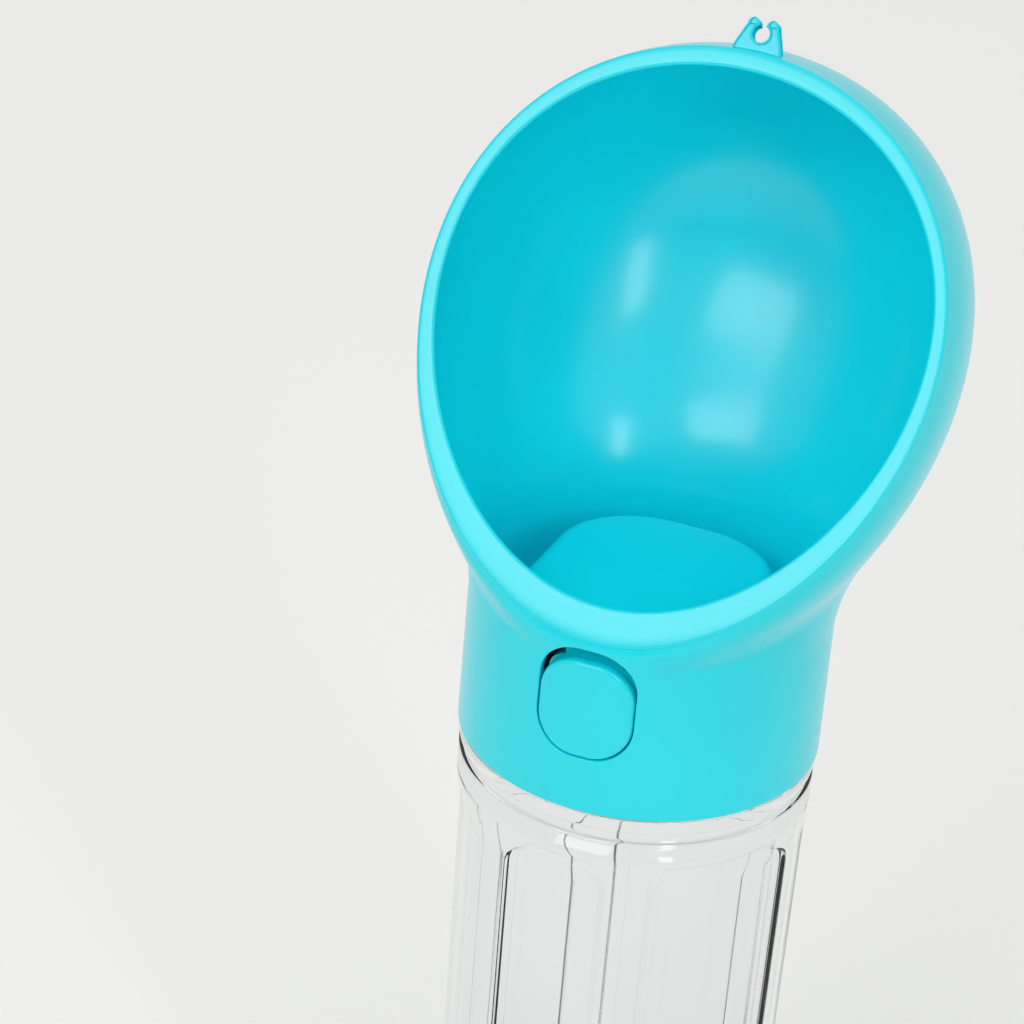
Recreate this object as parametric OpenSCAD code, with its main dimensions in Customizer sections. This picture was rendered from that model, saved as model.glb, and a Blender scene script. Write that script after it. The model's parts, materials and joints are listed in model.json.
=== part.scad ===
// Travel water bottle for dogs: a clear bottle under a head with a drinking bowl.
// A push button on the neck opens a valve between bottle and bowl.
// The origin is the centre of the base, +Z is up and the button faces -Y. Millimetres.

/* [Bottle] */
// Height from the base to the lower edge of the head
bottle_h = 146; // [120:1:180]
// Outer radius at the shoulder ring
bottle_r = 33; // [32.6:0.1:33.4]
// Wall thickness
bottle_wall = 2.3; // [2:0.1:2.8]
// Draft of the body on each side, in degrees
bottle_draft = 0.75; // [0.2:0.05:1]
// Height of the shoulder ring
ring_h = 3.2; // [2.4:0.1:4]
// Height of the groove under the ring
groove_h = 2.2; // [1.6:0.1:3]
// Depth of the groove
groove_depth = 0.9; // [0.5:0.1:1.2]
// Rounding of the base edge
base_round = 4; // [2:0.5:6]
// Height of the dish under the base
base_dish = 2.4; // [1.5:0.1:4]

/* [Bottle panels] */
// Distance from the head's edge down to the panels
panel_drop = 12.4; // [10:0.1:20]
// Distance from the base up to the panels
panel_lift = 14; // [10:0.5:25]
// Depth of the panels
panel_depth = 1; // [0.5:0.1:1.2]
// Angle that a narrow panel spans, in degrees
narrow_span = 35; // [28:0.5:40]
// Angle that a wide panel spans, in degrees
wide_span = 53.6; // [45:0.2:58]
// Corner radius of a panel
panel_corner = 5; // [3:0.5:7]
// Turn of the bottle when the head is tight, in degrees
bottle_turn = -6.4; // [-60:0.1:60]

/* [Head] */
// How far the neck stands out over the bottle's shoulder ring
neck_step = 0.5; // [0.2:0.1:1]
// Wall thickness of the moulding
shell_wall = 2.3; // [2:0.1:2.6]
// Thickness of the bowl's floor
floor_t = 2; // [1.6:0.1:2.4]
// Height over the floor at which the neck starts to open into the bowl
bowl_rise = 10; // [9:0.5:11]

/* [Thread] */
// Rise of the thread in one turn
thread_pitch = 4; // [3.8:0.1:4.2]
// Depth of the thread
thread_depth = 0.9; // [0.6:0.05:1]
// Radial play between the head's thread and the bottle's
thread_play = 0.3; // [0.2:0.05:0.4]
// Width of a thread's ridge at its root
ridge_root = 1.9; // [1.5:0.1:2]
// Width of a thread's ridge at its tip
ridge_tip = 1; // [0.6:0.1:1.2]
// Height of the thread's start over the bottle's shoulder and over the head's edge
thread_start = 1.3; // [1.1:0.1:1.5]
// Turns of the bottle's thread
finish_turns = 1.1; // [0.8:0.05:1.15]
// Turns of the head's thread
head_turns = 0.8; // [0.6:0.05:1]

/* [Bowl mouth] */
// Lean of the mouth back from upright, in degrees
mouth_lean = 33.4; // [30:0.2:38]
// Half of the mouth's width
mouth_half_w = 47.4; // [44:0.1:52]
// Half of the mouth's length, from lip to brow
mouth_half_l = 54.2; // [50:0.1:58]
// How far the lip stands out in front of the neck
lip_out = 0.1; // [0:0.1:0.5]
// Wall left between the button's pocket and the lip
lip_gap = 1.7; // [1.5:0.1:3]
// How much wider the mouth is towards its brow
mouth_egg = 0.09; // [0:0.01:0.15]
// Width of the rim at the sides
rim_w = 2.8; // [2.4:0.1:4]
// Width of the rim at the brow
brow_w = 3.7; // [2.4:0.1:5]
// Width of the rim at the lip
lip_w = 6.9; // [4:0.1:8]

/* [Bowl wall] */
// Where the sides leave the neck, as a share of the sweep from neck to mouth
side_start = 0.34; // [0.1:0.01:0.45]
// Where the sides bulge most
side_peak = 0.78; // [0.7:0.01:1]
// Softness of the turn where the sides leave the neck
side_soft = 0.28; // [0.1:0.01:0.4]
// Where the back leaves the neck
back_start = 0.27; // [0.05:0.01:0.4]
// Where the back bulges most
back_peak = 0.47; // [0.45:0.01:0.8]
// Softness of the turn where the back leaves the neck
back_soft = 0.17; // [0.1:0.01:0.4]
// How far the back falls in from the neck's own line on its way to the brow
back_fall = 13.5; // [12:0.1:15]

/* [Boss in the bowl] */
// Half of the boss's width
boss_half_w = 20.5; // [19:0.1:21.5]
// Distance of the boss's back from the axis
boss_back = 22; // [21:0.1:24]
// Corner radius of the boss's back
boss_corner = 17; // [12:0.5:19]
// Room over the button's pocket inside the boss
boss_head = 0.55; // [0.3:0.05:1]
// Slope of the boss's top down to the back, in degrees
boss_slope = 4.2; // [3.6:0.1:5]
// Rounding of the boss's top edge
boss_round = 2.6; // [1.5:0.1:3.5]

/* [Lanyard lug] */
// Width of the lug at its foot
lug_foot_w = 9; // [8:0.1:11]
// Width of the lug at its top
lug_top_w = 5.8; // [5.4:0.1:7]
// Height of the lug over the shell
lug_h = 6.4; // [6:0.1:8]
// Thickness of the lug
lug_t = 3; // [2.4:0.1:4]
// Radius of the lanyard hole
lanyard_r = 1.55; // [1.2:0.05:1.8]
// Width of the slot that leads into the hole
lanyard_slot = 1.3; // [1:0.1:1.6]

/* [Button] */
// Width of the button
button_w = 17.8; // [17:0.1:18.4]
// Height of the button
button_h = 19.3; // [18.5:0.1:19.6]
// Corner radius of the button
button_corner = 7.4; // [5:0.1:8.5]
// Gap round the button
button_gap = 0.3; // [0.2:0.05:0.4]
// How far the button stands out of the neck
button_proud = 0.3; // [0:0.1:0.6]
// Travel when pressed
press_travel = 2.6; // [1.5:0.1:2.8]
// Travel of the lock, upwards
lock_travel = 2.3; // [1.5:0.1:2.5]
// Gap between the neck's wall and the lock plate behind it
plate_gap = 1.2; // [1:0.1:1.6]
// Thickness of the lock plate behind the button
plate_t = 2.4; // [1.8:0.1:2.8]
// Width of the lock plate's tab, seen over the button
tab_w = 10.8; // [9:0.1:12]

/* [Valve] */
// Height of the valve's axis over the bowl's floor
nozzle_rise = 3.4; // [3.3:0.1:3.7]
// Outer radius of the barrel
barrel_r = 6.3; // [6:0.1:6.6]
// Radius of the bore that the plunger slides in
bore_r = 4; // [3.6:0.1:4.2]
// Radius of the hole through the valve seat
seat_r = 3; // [2.8:0.1:3.2]
// Radius of the spring chamber
chamber_r = 4.9; // [4.7:0.1:5.1]
// Radius of the plunger's rod
rod_r = 2; // [1.6:0.1:2.2]
// Thickness of the soft washer on the plunger's plug
washer_t = 1.35; // [1:0.05:1.6]
// Wall of the outlet nozzle's tube
nozzle_wall = 0.7; // [0.5:0.05:0.9]
// Radius of the water way in duct and nozzle
water_r = 2.3; // [2:0.1:2.4]
// Wire radius of the return spring
wire_r = 0.35; // [0.25:0.05:0.45]
// Turns of the return spring
spring_turns = 5; // [4:1:7]
// Length of the return spring's room at rest
spring_l = 8.5; // [8:0.1:9.5]

/* [Base plate] */
// Thickness of the base plate
base_t = 2.4; // [2.2:0.1:2.5]
// Thickness of the neck gasket
gasket_t = 1.2; // [1:0.1:1.3]
// Height of the bottle's finish that the skirt covers
finish_h = 7; // [6.5:0.1:7.1]
// Plate left between a base screw's head and the seal's groove
screw_edge = 0.8; // [0.6:0.1:1.5]
// Radius of a screw's shank
shank_r = 1; // [0.8:0.05:1.2]
// Length of a screw
screw_l = 5.4; // [5:0.1:5.6]
// Distance from the base plate up to the button's pocket
pocket_rise = 0.35; // [0.3:0.05:1]

/* [Hidden] */
$fn = 96;

turquoise = "#25C9D6";
clear = [0.85, 0.9, 0.92, 0.35];
milk = "#E4E6E2";
silicone = "#C9CDCB";
steel = "#9FA4A8";

nil = 0.01;            // overlap that makes a clean cut
fit_gap = 0.05;        // running gap between sliding faces

// ---- what follows from the sizes; heights on the head are over its lower edge ----

neck_r = bottle_r + neck_step;
bowl_r = neck_r - shell_wall;
skirt_r = bowl_r;
finish_r = skirt_r - thread_play - thread_depth;

base_low = finish_h + gasket_t;
base_top = base_low + base_t;
pocket_w = button_w + 2 * button_gap;
pocket_h = button_h + lock_travel + 2 * button_gap;
pocket_low = base_top + pocket_rise;
pocket_z = pocket_low + pocket_h / 2;
pocket_top = pocket_low + pocket_h;
button_z = pocket_low + button_gap + button_h / 2;
valve_z = button_z;
floor_z = valve_z - nozzle_rise;
bowl_z = floor_z + bowl_rise;
boss_top = pocket_top + boss_head + shell_wall;

// Base plate, its seal's groove and its screws
seal_r = 0.8;          // radius of an O-ring's section
seal_gap = 0.15;       // gap on each side of an O-ring that isn't in a groove
groove_r = skirt_r - 1.7;
screw_head_r = 2.2 * shank_r;
screw_circle = groove_r - screw_head_r - screw_edge;
post_r = shank_r + 1.8;

// Places along the valve's axis: the lock plate follows the front wall, the barrel's end
// follows the boss, and the spring, the plug and the seat follow the barrel's end
plate_front = -bowl_r + plate_gap;
plate_back = plate_front + plate_t;
pressed_gap = 5;       // room between the pressed lock plate and the barrel
barrel_front = plate_back + press_travel + pressed_gap;
barrel_end = boss_back - shell_wall - 2 * (seal_r + seal_gap);
nozzle_r = water_r + nozzle_wall;
nozzle_gap = 0.15;     // gap round the nozzle where it passes the boss
nozzle_out = 1;        // how far the nozzle stands out of the boss
collar_l = 5.8;        // length of the nozzle's collar in the barrel
spring_end = barrel_end - collar_l;
spring_y = spring_end - spring_l;
plug_t = 1.5;
plug_r = chamber_r - 0.6;
plug_y = spring_y - plug_t;
chamber_y = plug_y - washer_t - fit_gap;
seat_t = 1.6;
seat_y = chamber_y - seat_t;
duct_gap = 2.7;        // wall between the duct from the bottle and the seat
duct_y = seat_y - duct_gap - water_r;

// Lip, centre and brow of the mouth as [y, z]
lip = [-neck_r - lip_out, pocket_top + lip_gap];
mouth = lip + mouth_half_l * [sin(mouth_lean), cos(mouth_lean)];
brow = lip + 2 * mouth_half_l * [sin(mouth_lean), cos(mouth_lean)];

// ---- bottle ----

body_top = bottle_h - ring_h - groove_h;
function body_r(z) = bottle_r - (body_top - z) * tan(bottle_draft);
base_r = body_r(0);
edge_bevel = 0.4;
shoulder_gap = 0.3;    // gap between the head's edge and the shoulder ring
shoulder_z = bottle_h - shoulder_gap;
finish_top = bottle_h + finish_h;
foot_ring_w = 3;       // width of the slope from the dish to the foot ring
foot_flat_w = 3;       // width of the foot ring that the bottle stands on
inner_taper_h = 6;     // height over which the inside narrows to the finish
past = 1;              // how far a cut runs past the surface it opens

// Points on a quarter circle about [x, z], from angle a to angle b
function quarter(x, z, r, a, b, steps = 8) =
    [for (i = [0:steps]) [x + r * cos(a + (b - a) * i / steps), z + r * sin(a + (b - a) * i / steps)]];

module bottle_outside() {
    rotate_extrude()
        polygon(concat(
            [[0, base_dish],
             [base_r - base_round - foot_flat_w - foot_ring_w, base_dish],
             [base_r - base_round - foot_flat_w, 0]],
            quarter(base_r - base_round, base_round, base_round, -90, 0),
            [[bottle_r, body_top],
             [bottle_r - groove_depth, body_top + groove_depth / 2],
             [bottle_r - groove_depth, body_top + groove_h - groove_depth / 2],
             [bottle_r, body_top + groove_h],
             [bottle_r, shoulder_z - edge_bevel],
             [bottle_r - edge_bevel, shoulder_z],
             [finish_r, shoulder_z],
             [finish_r, finish_top - edge_bevel],
             [finish_r - edge_bevel, finish_top],
             [0, finish_top]]));
}

module bottle_inside() {
    inner_r = base_r - bottle_wall;
    rotate_extrude()
        polygon(concat(
            [[0, base_dish + bottle_wall]],
            quarter(inner_r - base_round, base_dish + bottle_wall + base_round, base_round, -90, 0),
            [[bottle_r - groove_depth - bottle_wall, body_top - inner_taper_h],
             [finish_r - bottle_wall, body_top],
             [finish_r - bottle_wall, finish_top + past],
             [0, finish_top + past]]));
}

// Rectangle with round corners, centred, made of true arcs
module round_rect(w, h, r) {
    square([w - 2 * r, h], center = true);
    square([w, h - 2 * r], center = true);
    for (sx = [-1, 1], sz = [-1, 1])
        translate([sx * (w / 2 - r), sz * (h / 2 - r)])
            circle(r);
}

// Outline of a panel: a rectangle whose corners are cut in short chords
function panel_outline(w, h) =
    let (x = w / 2 - panel_corner, y = h / 2 - panel_corner)
    concat(quarter(x, y, panel_corner, 0, 90, 6), quarter(-x, y, panel_corner, 90, 180, 6),
        quarter(-x, -y, panel_corner, 180, 270, 6), quarter(x, -y, panel_corner, 270, 360, 6));

// One panel's cutter, facing -Y before it is turned
module panel_cutter(span) {
    low = panel_lift;
    high = bottle_h - panel_drop;
    difference() {
        translate([0, 0, (low + high) / 2])
            rotate([90, 0, 0])
                linear_extrude(bottle_r + past)
                    polygon(panel_outline(2 * bottle_r * sin(span / 2), high - low));
        cylinder(r1 = base_r - panel_depth, r2 = body_r(bottle_h) - panel_depth, h = bottle_h);
    }
}

// Thread's ridge on a wall of radius r: it winds up about +Z, starts and ends flush with the wall,
// and stands outward, or inward where depth is negative
module ridge(r, depth, turns) {
    per_turn = 48;
    run_out = 4;
    sink = 0.3 * sign(depth);
    count = round(turns * per_turn);
    points = [for (j = [0:count])
        let (a = 360 * j / per_turn, z = thread_pitch * j / per_turn,
             d = -sink / 2 + (depth + sink / 2) * min(1, j / run_out, (count - j) / run_out))
        each [for (p = [[-sink, -ridge_root / 2], [d, -ridge_tip / 2], [d, ridge_tip / 2],
                [-sink, ridge_root / 2]])
            [(r + p[0]) * cos(a), (r + p[0]) * sin(a), z + p[1]]]];
    quads = concat([[0, 1, 2, 3]], [[4 * count + 3, 4 * count + 2, 4 * count + 1, 4 * count]],
        [for (j = [0:count - 1], i = [0:3])
            let (m = 4 * j, k = (i + 1) % 4)
            each [[m + i, m + 4 + k, m + k], [m + i, m + 4 + i, m + 4 + k]]]);
    polyhedron(points = points, faces = depth < 0 ? quads : [for (q = quads) [for (i = [len(q) - 1:-1:0]) q[i]]]);
}

module bottle() {
    color(clear)
        difference() {
            union() {
                bottle_outside();
                translate([0, 0, bottle_h + thread_start])
                    ridge(finish_r, thread_depth, finish_turns);
            }
            bottle_inside();
            for (i = [0:2]) {
                rotate(bottle_turn + 120 * i)
                    panel_cutter(narrow_span);
                rotate(bottle_turn + 60 + 120 * i)
                    panel_cutter(wide_span);
            }
        }
}

// ---- head shell: a fan of sections that turns from the neck's circle to the mouth's egg ----

sides = 64;            // points round a section
steps = 22;            // sections from neck to mouth
step_in = 0.06;        // keeps the bowl's first section inside the neck's wall
root_h = 1.5;          // height of the wall's root inside the neck
rim_bevel = 0.5;       // bevel along both edges of the rim
bevel_q = 0.1;         // last share of the sweep over which the outside draws back to the bevel
fan_angle = 90 - mouth_lean;
pivot = [lip[0] - (lip[1] - bowl_z) / tan(fan_angle), bowl_z];
brow_reach = norm(brow - pivot);

// Rises from 0 to 1 along the sweep: flat up to start, then a parabola about peak
function swell(q, start, peak, soft) =
    let (s = (q - start) / (1 - start), t = (s + sqrt(s * s + soft * soft)) / 2)
    1 - pow(1 - t / peak, 2);
function rise(q, start, peak, soft) =
    (swell(q, start, peak, soft) - swell(0, start, peak, soft))
    / (swell(1, start, peak, soft) - swell(0, start, peak, soft));

// Distances from the pivot to a section's front and back, and its half width
function front_reach(q) =
    (-neck_r + (lip[0] + neck_r) * q * q - pivot[0]) / cos(fan_angle * q);
function neck_reach(q) = (neck_r - pivot[0]) / cos(fan_angle * q);
function back_reach(q) =
    neck_reach(q) - back_fall * rise(q, back_start, back_peak, back_soft)
    + (brow_reach - neck_reach(1) + back_fall) * pow(q, 3);
function half_width(q) =
    neck_r + (mouth_half_w - neck_r) * rise(q, side_start, side_peak, side_soft);

// Point at share q of the sweep and angle a round the section, with the wall taken off.
// inset is [front, side, back]; push moves the section along the mouth's normal.
function bowl_point(q, a, inset, push = 0) =
    let (f = front_reach(q) + inset[0], b = back_reach(q) - inset[2],
         s = (f + b) / 2 + (b - f) / 2 * sin(a),
         x = (half_width(q) - inset[1]) * cos(a) * (1 + mouth_egg * q * sin(a)),
         p = fan_angle * q)
    [x, pivot[0] + s * cos(p) - push * sin(p), pivot[1] + s * sin(p) + push * cos(p)];
function bowl_ring(q, inset, push = 0) =
    [for (i = [0:sides - 1]) bowl_point(q, 360 * i / sides, inset, push)];

// The wall grows from its own thickness to the rim's widths over the last stretch
function wall_at(q) =
    let (g = pow(q, 5))
    [shell_wall + (lip_w - shell_wall) * g,
     shell_wall + (rim_w - shell_wall) * g,
     shell_wall + (brow_w - shell_wall) * g];
function flat_ring(r, z) = [for (i = [0:sides - 1]) [r * cos(360 * i / sides), r * sin(360 * i / sides), z]];

function draw_back(q) = -rim_bevel * max(0, (q - 1 + bevel_q) / bevel_q);
all_round = [1, 1, 1];
outer_rings = concat(
    [flat_ring(neck_r - shell_wall / 3, bowl_z - root_h)],
    [for (i = [0:steps], q = i / steps) bowl_ring(q, all_round * step_in * (1 - q), draw_back(q))],
    [bowl_ring(1, all_round * rim_bevel)]);
inner_rings = concat(
    [bowl_ring(1, wall_at(1) - all_round * rim_bevel)],
    [for (i = [steps:-1:0], q = i / steps)
        bowl_ring(q, wall_at(q) - all_round * step_in * (1 - q), draw_back(q))],
    [flat_ring(neck_r - shell_wall * 2 / 3, bowl_z - root_h)]);

// Closed loop of rings: up the outside, over the rim, down the inside
module ring_loop(rings) {
    n = len(rings);
    polyhedron(
        points = [for (ring = rings) each ring],
        faces = [for (j = [0:n - 1], i = [0:sides - 1])
            let (k = (i + 1) % sides, m = (j + 1) % n)
            each [[j * sides + i, m * sides + k, j * sides + k],
                [j * sides + i, m * sides + i, m * sides + k]]]);
}

module bowl_wall() {
    ring_loop(concat(outer_rings, inner_rings));
}

module neck_and_floor() {
    fillet = floor_t;
    rotate_extrude()
        polygon([[skirt_r, 0], [neck_r - edge_bevel, 0], [neck_r, edge_bevel], [neck_r, bowl_z],
            [bowl_r, bowl_z], [bowl_r, floor_z + fillet], [bowl_r - fillet, floor_z], [0, floor_z],
            [0, floor_z - floor_t], [skirt_r, floor_z - floor_t]]);
}

// Outline of the boss from above: straight sides from the front wall, round back
module boss_plan(inset) {
    r = boss_corner - inset;
    w = boss_half_w - inset;
    b = boss_back - inset;
    for (s = [-1, 1])
        translate([s * (w - r), b - r])
            circle(r, $fn = 48);
    translate([-w, -neck_r])
        square([2 * w, neck_r + b - r]);
    translate([r - w, -neck_r])
        square([2 * (w - r), neck_r + b]);
}

// Sinks what stands on it by the boss's slope, from the front wall to the back
module sloped() {
    multmatrix([[1, 0, 0, 0], [0, 1, 0, 0], [0, -tan(boss_slope), 1, -neck_r * tan(boss_slope)]])
        children();
}

// The boss as one rounded block; inset leaves its inner hollow
module boss_block(inset, foot_z) {
    round_r = boss_round - inset / 2;
    lay = [0, 0.3, 0.7, 1];
    hull() {
        translate([0, 0, foot_z])
            linear_extrude(nil)
                boss_plan(inset);
        for (u = lay)
            sloped()
                translate([0, 0, boss_top - inset - round_r * (1 - sin(90 * u)) - nil])
                    linear_extrude(nil)
                        boss_plan(inset + round_r * (1 - cos(90 * u)));
    }
}

module boss() {
    intersection() {
        boss_block(0, floor_z - floor_t / 2);
        cylinder(r = neck_r - shell_wall / 2, h = boss_top + past);
    }
}

hollow_gap = 0.1;      // wall that the boss's hollow leaves in front of the neck's inside
module boss_hollow() {
    intersection() {
        boss_block(shell_wall, floor_z - floor_t - past);
        cylinder(r = bowl_r - hollow_gap, h = boss_top + past);
    }
}

module button_pocket() {
    translate([0, -bowl_r + shell_wall, pocket_z])
        rotate([90, 0, 0])
            linear_extrude(4 * shell_wall)
                round_rect(pocket_w, pocket_h, button_corner + button_gap);
}

// Posts under the floor that take the base plate's screws
screw_angles = [-12, 50, 130, 192];
module at_screws() {
    for (a = screw_angles)
        rotate(a)
            translate([screw_circle, 0, 0])
                children();
}

pilot_gap = 0.1;       // how much wider a screw's hole is than its shank
pilot_past = 0.5;      // how much deeper the hole is than the screw's tip

lug_drop = 2;          // depth of the lug's foot in the shell's wall
lug_sink = 0.2;        // how deep the lug's foot line lies in the shell's outside
lug_behind = 2;        // distance of the lug's face behind the rim
lug_q = 1 - asin((lug_behind + lug_t / 2) / brow_reach) / fan_angle;
lug_foot = back_reach(lug_q) * cos(fan_angle * (1 - lug_q)) - norm(mouth - pivot) - lug_sink;
lug_back = -lug_behind - lug_t;
hole_h = lug_h / 2;
module in_mouth_plane() {
    translate([0, mouth[0], mouth[1]])
        rotate([fan_angle, 0, 0])
            children();
}

module lug() {
    horn_r = (lug_top_w - lanyard_slot) / 4;
    in_mouth_plane()
        translate([0, lug_foot, lug_back])
            difference() {
                linear_extrude(lug_t) {
                    polygon([[-lug_foot_w / 2, -lug_drop], [lug_foot_w / 2, -lug_drop],
                        [lug_foot_w / 2, 0], [lug_top_w / 2, lug_h - horn_r],
                        [-lug_top_w / 2, lug_h - horn_r], [-lug_foot_w / 2, 0]]);
                    for (s = [-1, 1])
                        translate([s * (lug_top_w / 2 - horn_r), lug_h - horn_r])
                            circle(horn_r);
                }
                translate([0, hole_h, -past])
                    cylinder(r = lanyard_r, h = lug_t + 2 * past);
                translate([-lanyard_slot / 2, hole_h, -past])
                    cube([lanyard_slot, lug_h, lug_t + 2 * past]);
            }
}

module on_bottle() {
    translate([0, 0, bottle_h])
        children();
}

module pilot_hole() {
    translate([0, 0, base_top - past])
        cylinder(r = shank_r + pilot_gap, h = past + screw_l - base_t + pilot_past);
}

module head_shell() {
    color(turquoise)
        on_bottle()
            difference() {
                union() {
                    neck_and_floor();
                    bowl_wall();
                    boss();
                    lug();
                    translate([0, 0, thread_start])
                        rotate(180)
                            ridge(skirt_r, -thread_depth, head_turns);
                    at_screws()
                        translate([0, 0, base_top])
                            cylinder(r = post_r, h = floor_z - base_top - floor_t / 2);
                }
                boss_hollow();
                button_pocket();
                at_screws()
                    pilot_hole();
                translate([0, barrel_end, valve_z])
                    rotate([-90, 0, 0])
                        cylinder(r = nozzle_r + nozzle_gap, h = boss_back - barrel_end + 2 * past);
            }
}

// ---- base plate and its seals ----

plate_play = 0.25;     // gap between the base plate and the skirt
foot_w = 11;           // width of the valve's foot on the base plate
foot_end = 2.4;        // length of the foot past its screws
inlet_groove = 1.6;    // width of the inlet seal's groove
valve_screw_y = [duct_y - water_r - inlet_groove - shank_r - 0.5, seat_y + barrel_r];

// Screw head that narrows to the shank; the countersink is the same form, larger by gap
module screw_form(length, gap) {
    translate([0, 0, -gap])
        cylinder(r1 = screw_head_r + gap, r2 = shank_r + gap, h = screw_head_r - shank_r + gap);
    cylinder(r = shank_r + gap, h = length + gap);
}

module base_plate() {
    color(milk)
        on_bottle()
            difference() {
                translate([0, 0, base_low])
                    cylinder(r = skirt_r - plate_play, h = base_t);
                translate([0, 0, base_low + base_t / 2 - seal_r])
                    difference() {
                        cylinder(r = skirt_r + past, h = 2 * seal_r);
                        translate([0, 0, -past])
                            cylinder(r = groove_r, h = 2 * seal_r + 2 * past);
                    }
                translate([0, duct_y, base_low - past])
                    cylinder(r = water_r, h = base_t + 2 * past);
                translate([0, duct_y, base_top - seal_r])
                    cylinder(r = water_r + inlet_groove, h = seal_r + past);
                at_screws()
                    translate([0, 0, base_low])
                        screw_form(base_t + past, pilot_gap);
                for (y = valve_screw_y)
                    translate([0, y, base_low])
                        screw_form(base_t + past, pilot_gap);
            }
}

module ring_seal(major, minor) {
    rotate_extrude()
        translate([major, 0])
            circle(minor);
}

slack = 0.02;          // gap between an O-ring and the walls of its groove
module plate_seal() {
    color(silicone)
        on_bottle()
            translate([0, 0, base_low + base_t / 2])
                ring_seal((skirt_r + groove_r) / 2, seal_r - slack);
}

gasket_in = 0.6;       // how far the gasket reaches in over the bottle's wall
module neck_gasket() {
    color(silicone)
        translate([0, 0, finish_top])
            difference() {
                cylinder(r = finish_r - edge_bevel, h = gasket_t);
                translate([0, 0, -past])
                    cylinder(r = finish_r - bottle_wall - gasket_in, h = gasket_t + 2 * past);
            }
}

module plate_screws() {
    color(steel)
        on_bottle()
            at_screws()
                translate([0, 0, base_low])
                    screw_form(screw_l, 0);
}

// ---- valve: everything lies along +Y at the button's height ----

// Places a form drawn along +Z so that it lies along +Y from y
module along_valve(y) {
    on_bottle()
        translate([0, y, valve_z])
            rotate([-90, 0, 0])
                children();
}

module valve_body() {
    color(milk)
        difference() {
            union() {
                along_valve(barrel_front)
                    cylinder(r = barrel_r, h = barrel_end - barrel_front);
                on_bottle()
                    translate([-foot_w / 2, valve_screw_y[0] - foot_end, base_top])
                        cube([foot_w, valve_screw_y[1] - valve_screw_y[0] + 2 * foot_end, valve_z - base_top]);
            }
            along_valve(barrel_front - past)
                cylinder(r = bore_r, h = seat_y - barrel_front + past);
            along_valve(seat_y - past)
                cylinder(r = seat_r, h = seat_t + 2 * past);
            along_valve(chamber_y)
                cylinder(r = chamber_r, h = barrel_end - chamber_y + past);
            on_bottle() {
                translate([0, duct_y, base_top - past])
                    cylinder(r = water_r, h = valve_z - base_top + past);
                for (y = valve_screw_y)
                    translate([0, y, 0])
                        pilot_hole();
            }
        }
}

module inlet_seal() {
    color(silicone)
        on_bottle()
            translate([0, duct_y, base_top - seal_r / 2])
                ring_seal(water_r + inlet_groove / 2, seal_r / 2 - slack);
}

module valve_screws() {
    color(steel)
        on_bottle()
            for (y = valve_screw_y)
                translate([0, y, base_low])
                    screw_form(screw_l, 0);
}

module outlet_nozzle() {
    color(milk)
        along_valve(spring_end)
            difference() {
                union() {
                    cylinder(r = chamber_r - fit_gap, h = barrel_end - spring_end);
                    cylinder(r = nozzle_r, h = boss_back + nozzle_out - spring_end);
                }
                translate([0, 0, -past])
                    cylinder(r = water_r, h = boss_back + nozzle_out - spring_end + 2 * past);
            }
}

module outlet_seal() {
    color(silicone)
        along_valve((barrel_end + boss_back - shell_wall) / 2)
            ring_seal(nozzle_r + slack + seal_r, seal_r);
}

// Round wire on a helix along +Z: each ring of the tube stands across the wire's path
module coil(mean_r, wire, turns, length) {
    ring_sides = 8;
    per_turn = 20;
    rings = turns * per_turn;
    slope = atan2(length, 2 * PI * mean_r * turns);
    points = [for (j = [0:rings], i = [0:ring_sides - 1])
        let (a = 360 * j / per_turn, b = 360 * i / ring_sides,
             r = mean_r + wire * cos(b), up = wire * sin(b))
        [r * cos(a) + up * sin(slope) * sin(a),
         r * sin(a) - up * sin(slope) * cos(a),
         length * j / rings + up * cos(slope)]];
    last = rings * ring_sides;
    polyhedron(points = points, faces = concat(
        [[for (i = [0:ring_sides - 1]) i]],
        [[for (i = [ring_sides - 1:-1:0]) last + i]],
        [for (j = [0:rings - 1], i = [0:ring_sides - 1])
            let (k = (i + 1) % ring_sides, m = j * ring_sides)
            each [[m + i, m + ring_sides + k, m + k], [m + i, m + ring_sides + i, m + ring_sides + k]]]));
}

spring_in = 1.6;       // distance of the spring's wire from the chamber's wall
module return_spring() {
    end_gap = wire_r + fit_gap;
    color(steel)
        along_valve(spring_y + end_gap)
            coil(chamber_r - spring_in, wire_r, spring_turns, spring_end - spring_y - 2 * end_gap);
}

// ---- plunger, lock plate and button: these move when the button is pressed ----

land_in = 1;           // how far the plunger's land lies inside the barrel
land_front = barrel_front + land_in;
land_l = 8;
land_end = 2.2;        // distance of each O-ring from the land's end
ring_y = [land_front + land_end, land_front + land_l - land_end];
stub_r = 1.5;          // stub that carries the lock plate
stem_depth = 2 * seal_r;

shoulder_t = 1.2;      // thickness of the plunger's shoulder behind the lock plate
guide_l = 2;           // length of the pin that centres the spring
module plunger() {
    color(milk)
        difference() {
            union() {
                along_valve(plate_front)
                    cylinder(r = stub_r, h = plate_t + past);
                along_valve(plate_back)
                    cylinder(r = 1.6 * rod_r, h = shoulder_t);
                along_valve(plate_back)
                    cylinder(r = rod_r, h = spring_y - plate_back);
                along_valve(land_front)
                    cylinder(r = bore_r - fit_gap, h = land_l);
                along_valve(plug_y)
                    cylinder(r = plug_r, h = plug_t);
                along_valve(spring_y - past)
                    cylinder(r = 0.8 * rod_r, h = past + guide_l);
            }
            for (y = ring_y)
                along_valve(y - seal_r)
                    difference() {
                        cylinder(r = bore_r + past, h = 2 * seal_r);
                        translate([0, 0, -past])
                            cylinder(r = bore_r - stem_depth, h = 2 * seal_r + 2 * past);
                    }
        }
}

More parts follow.
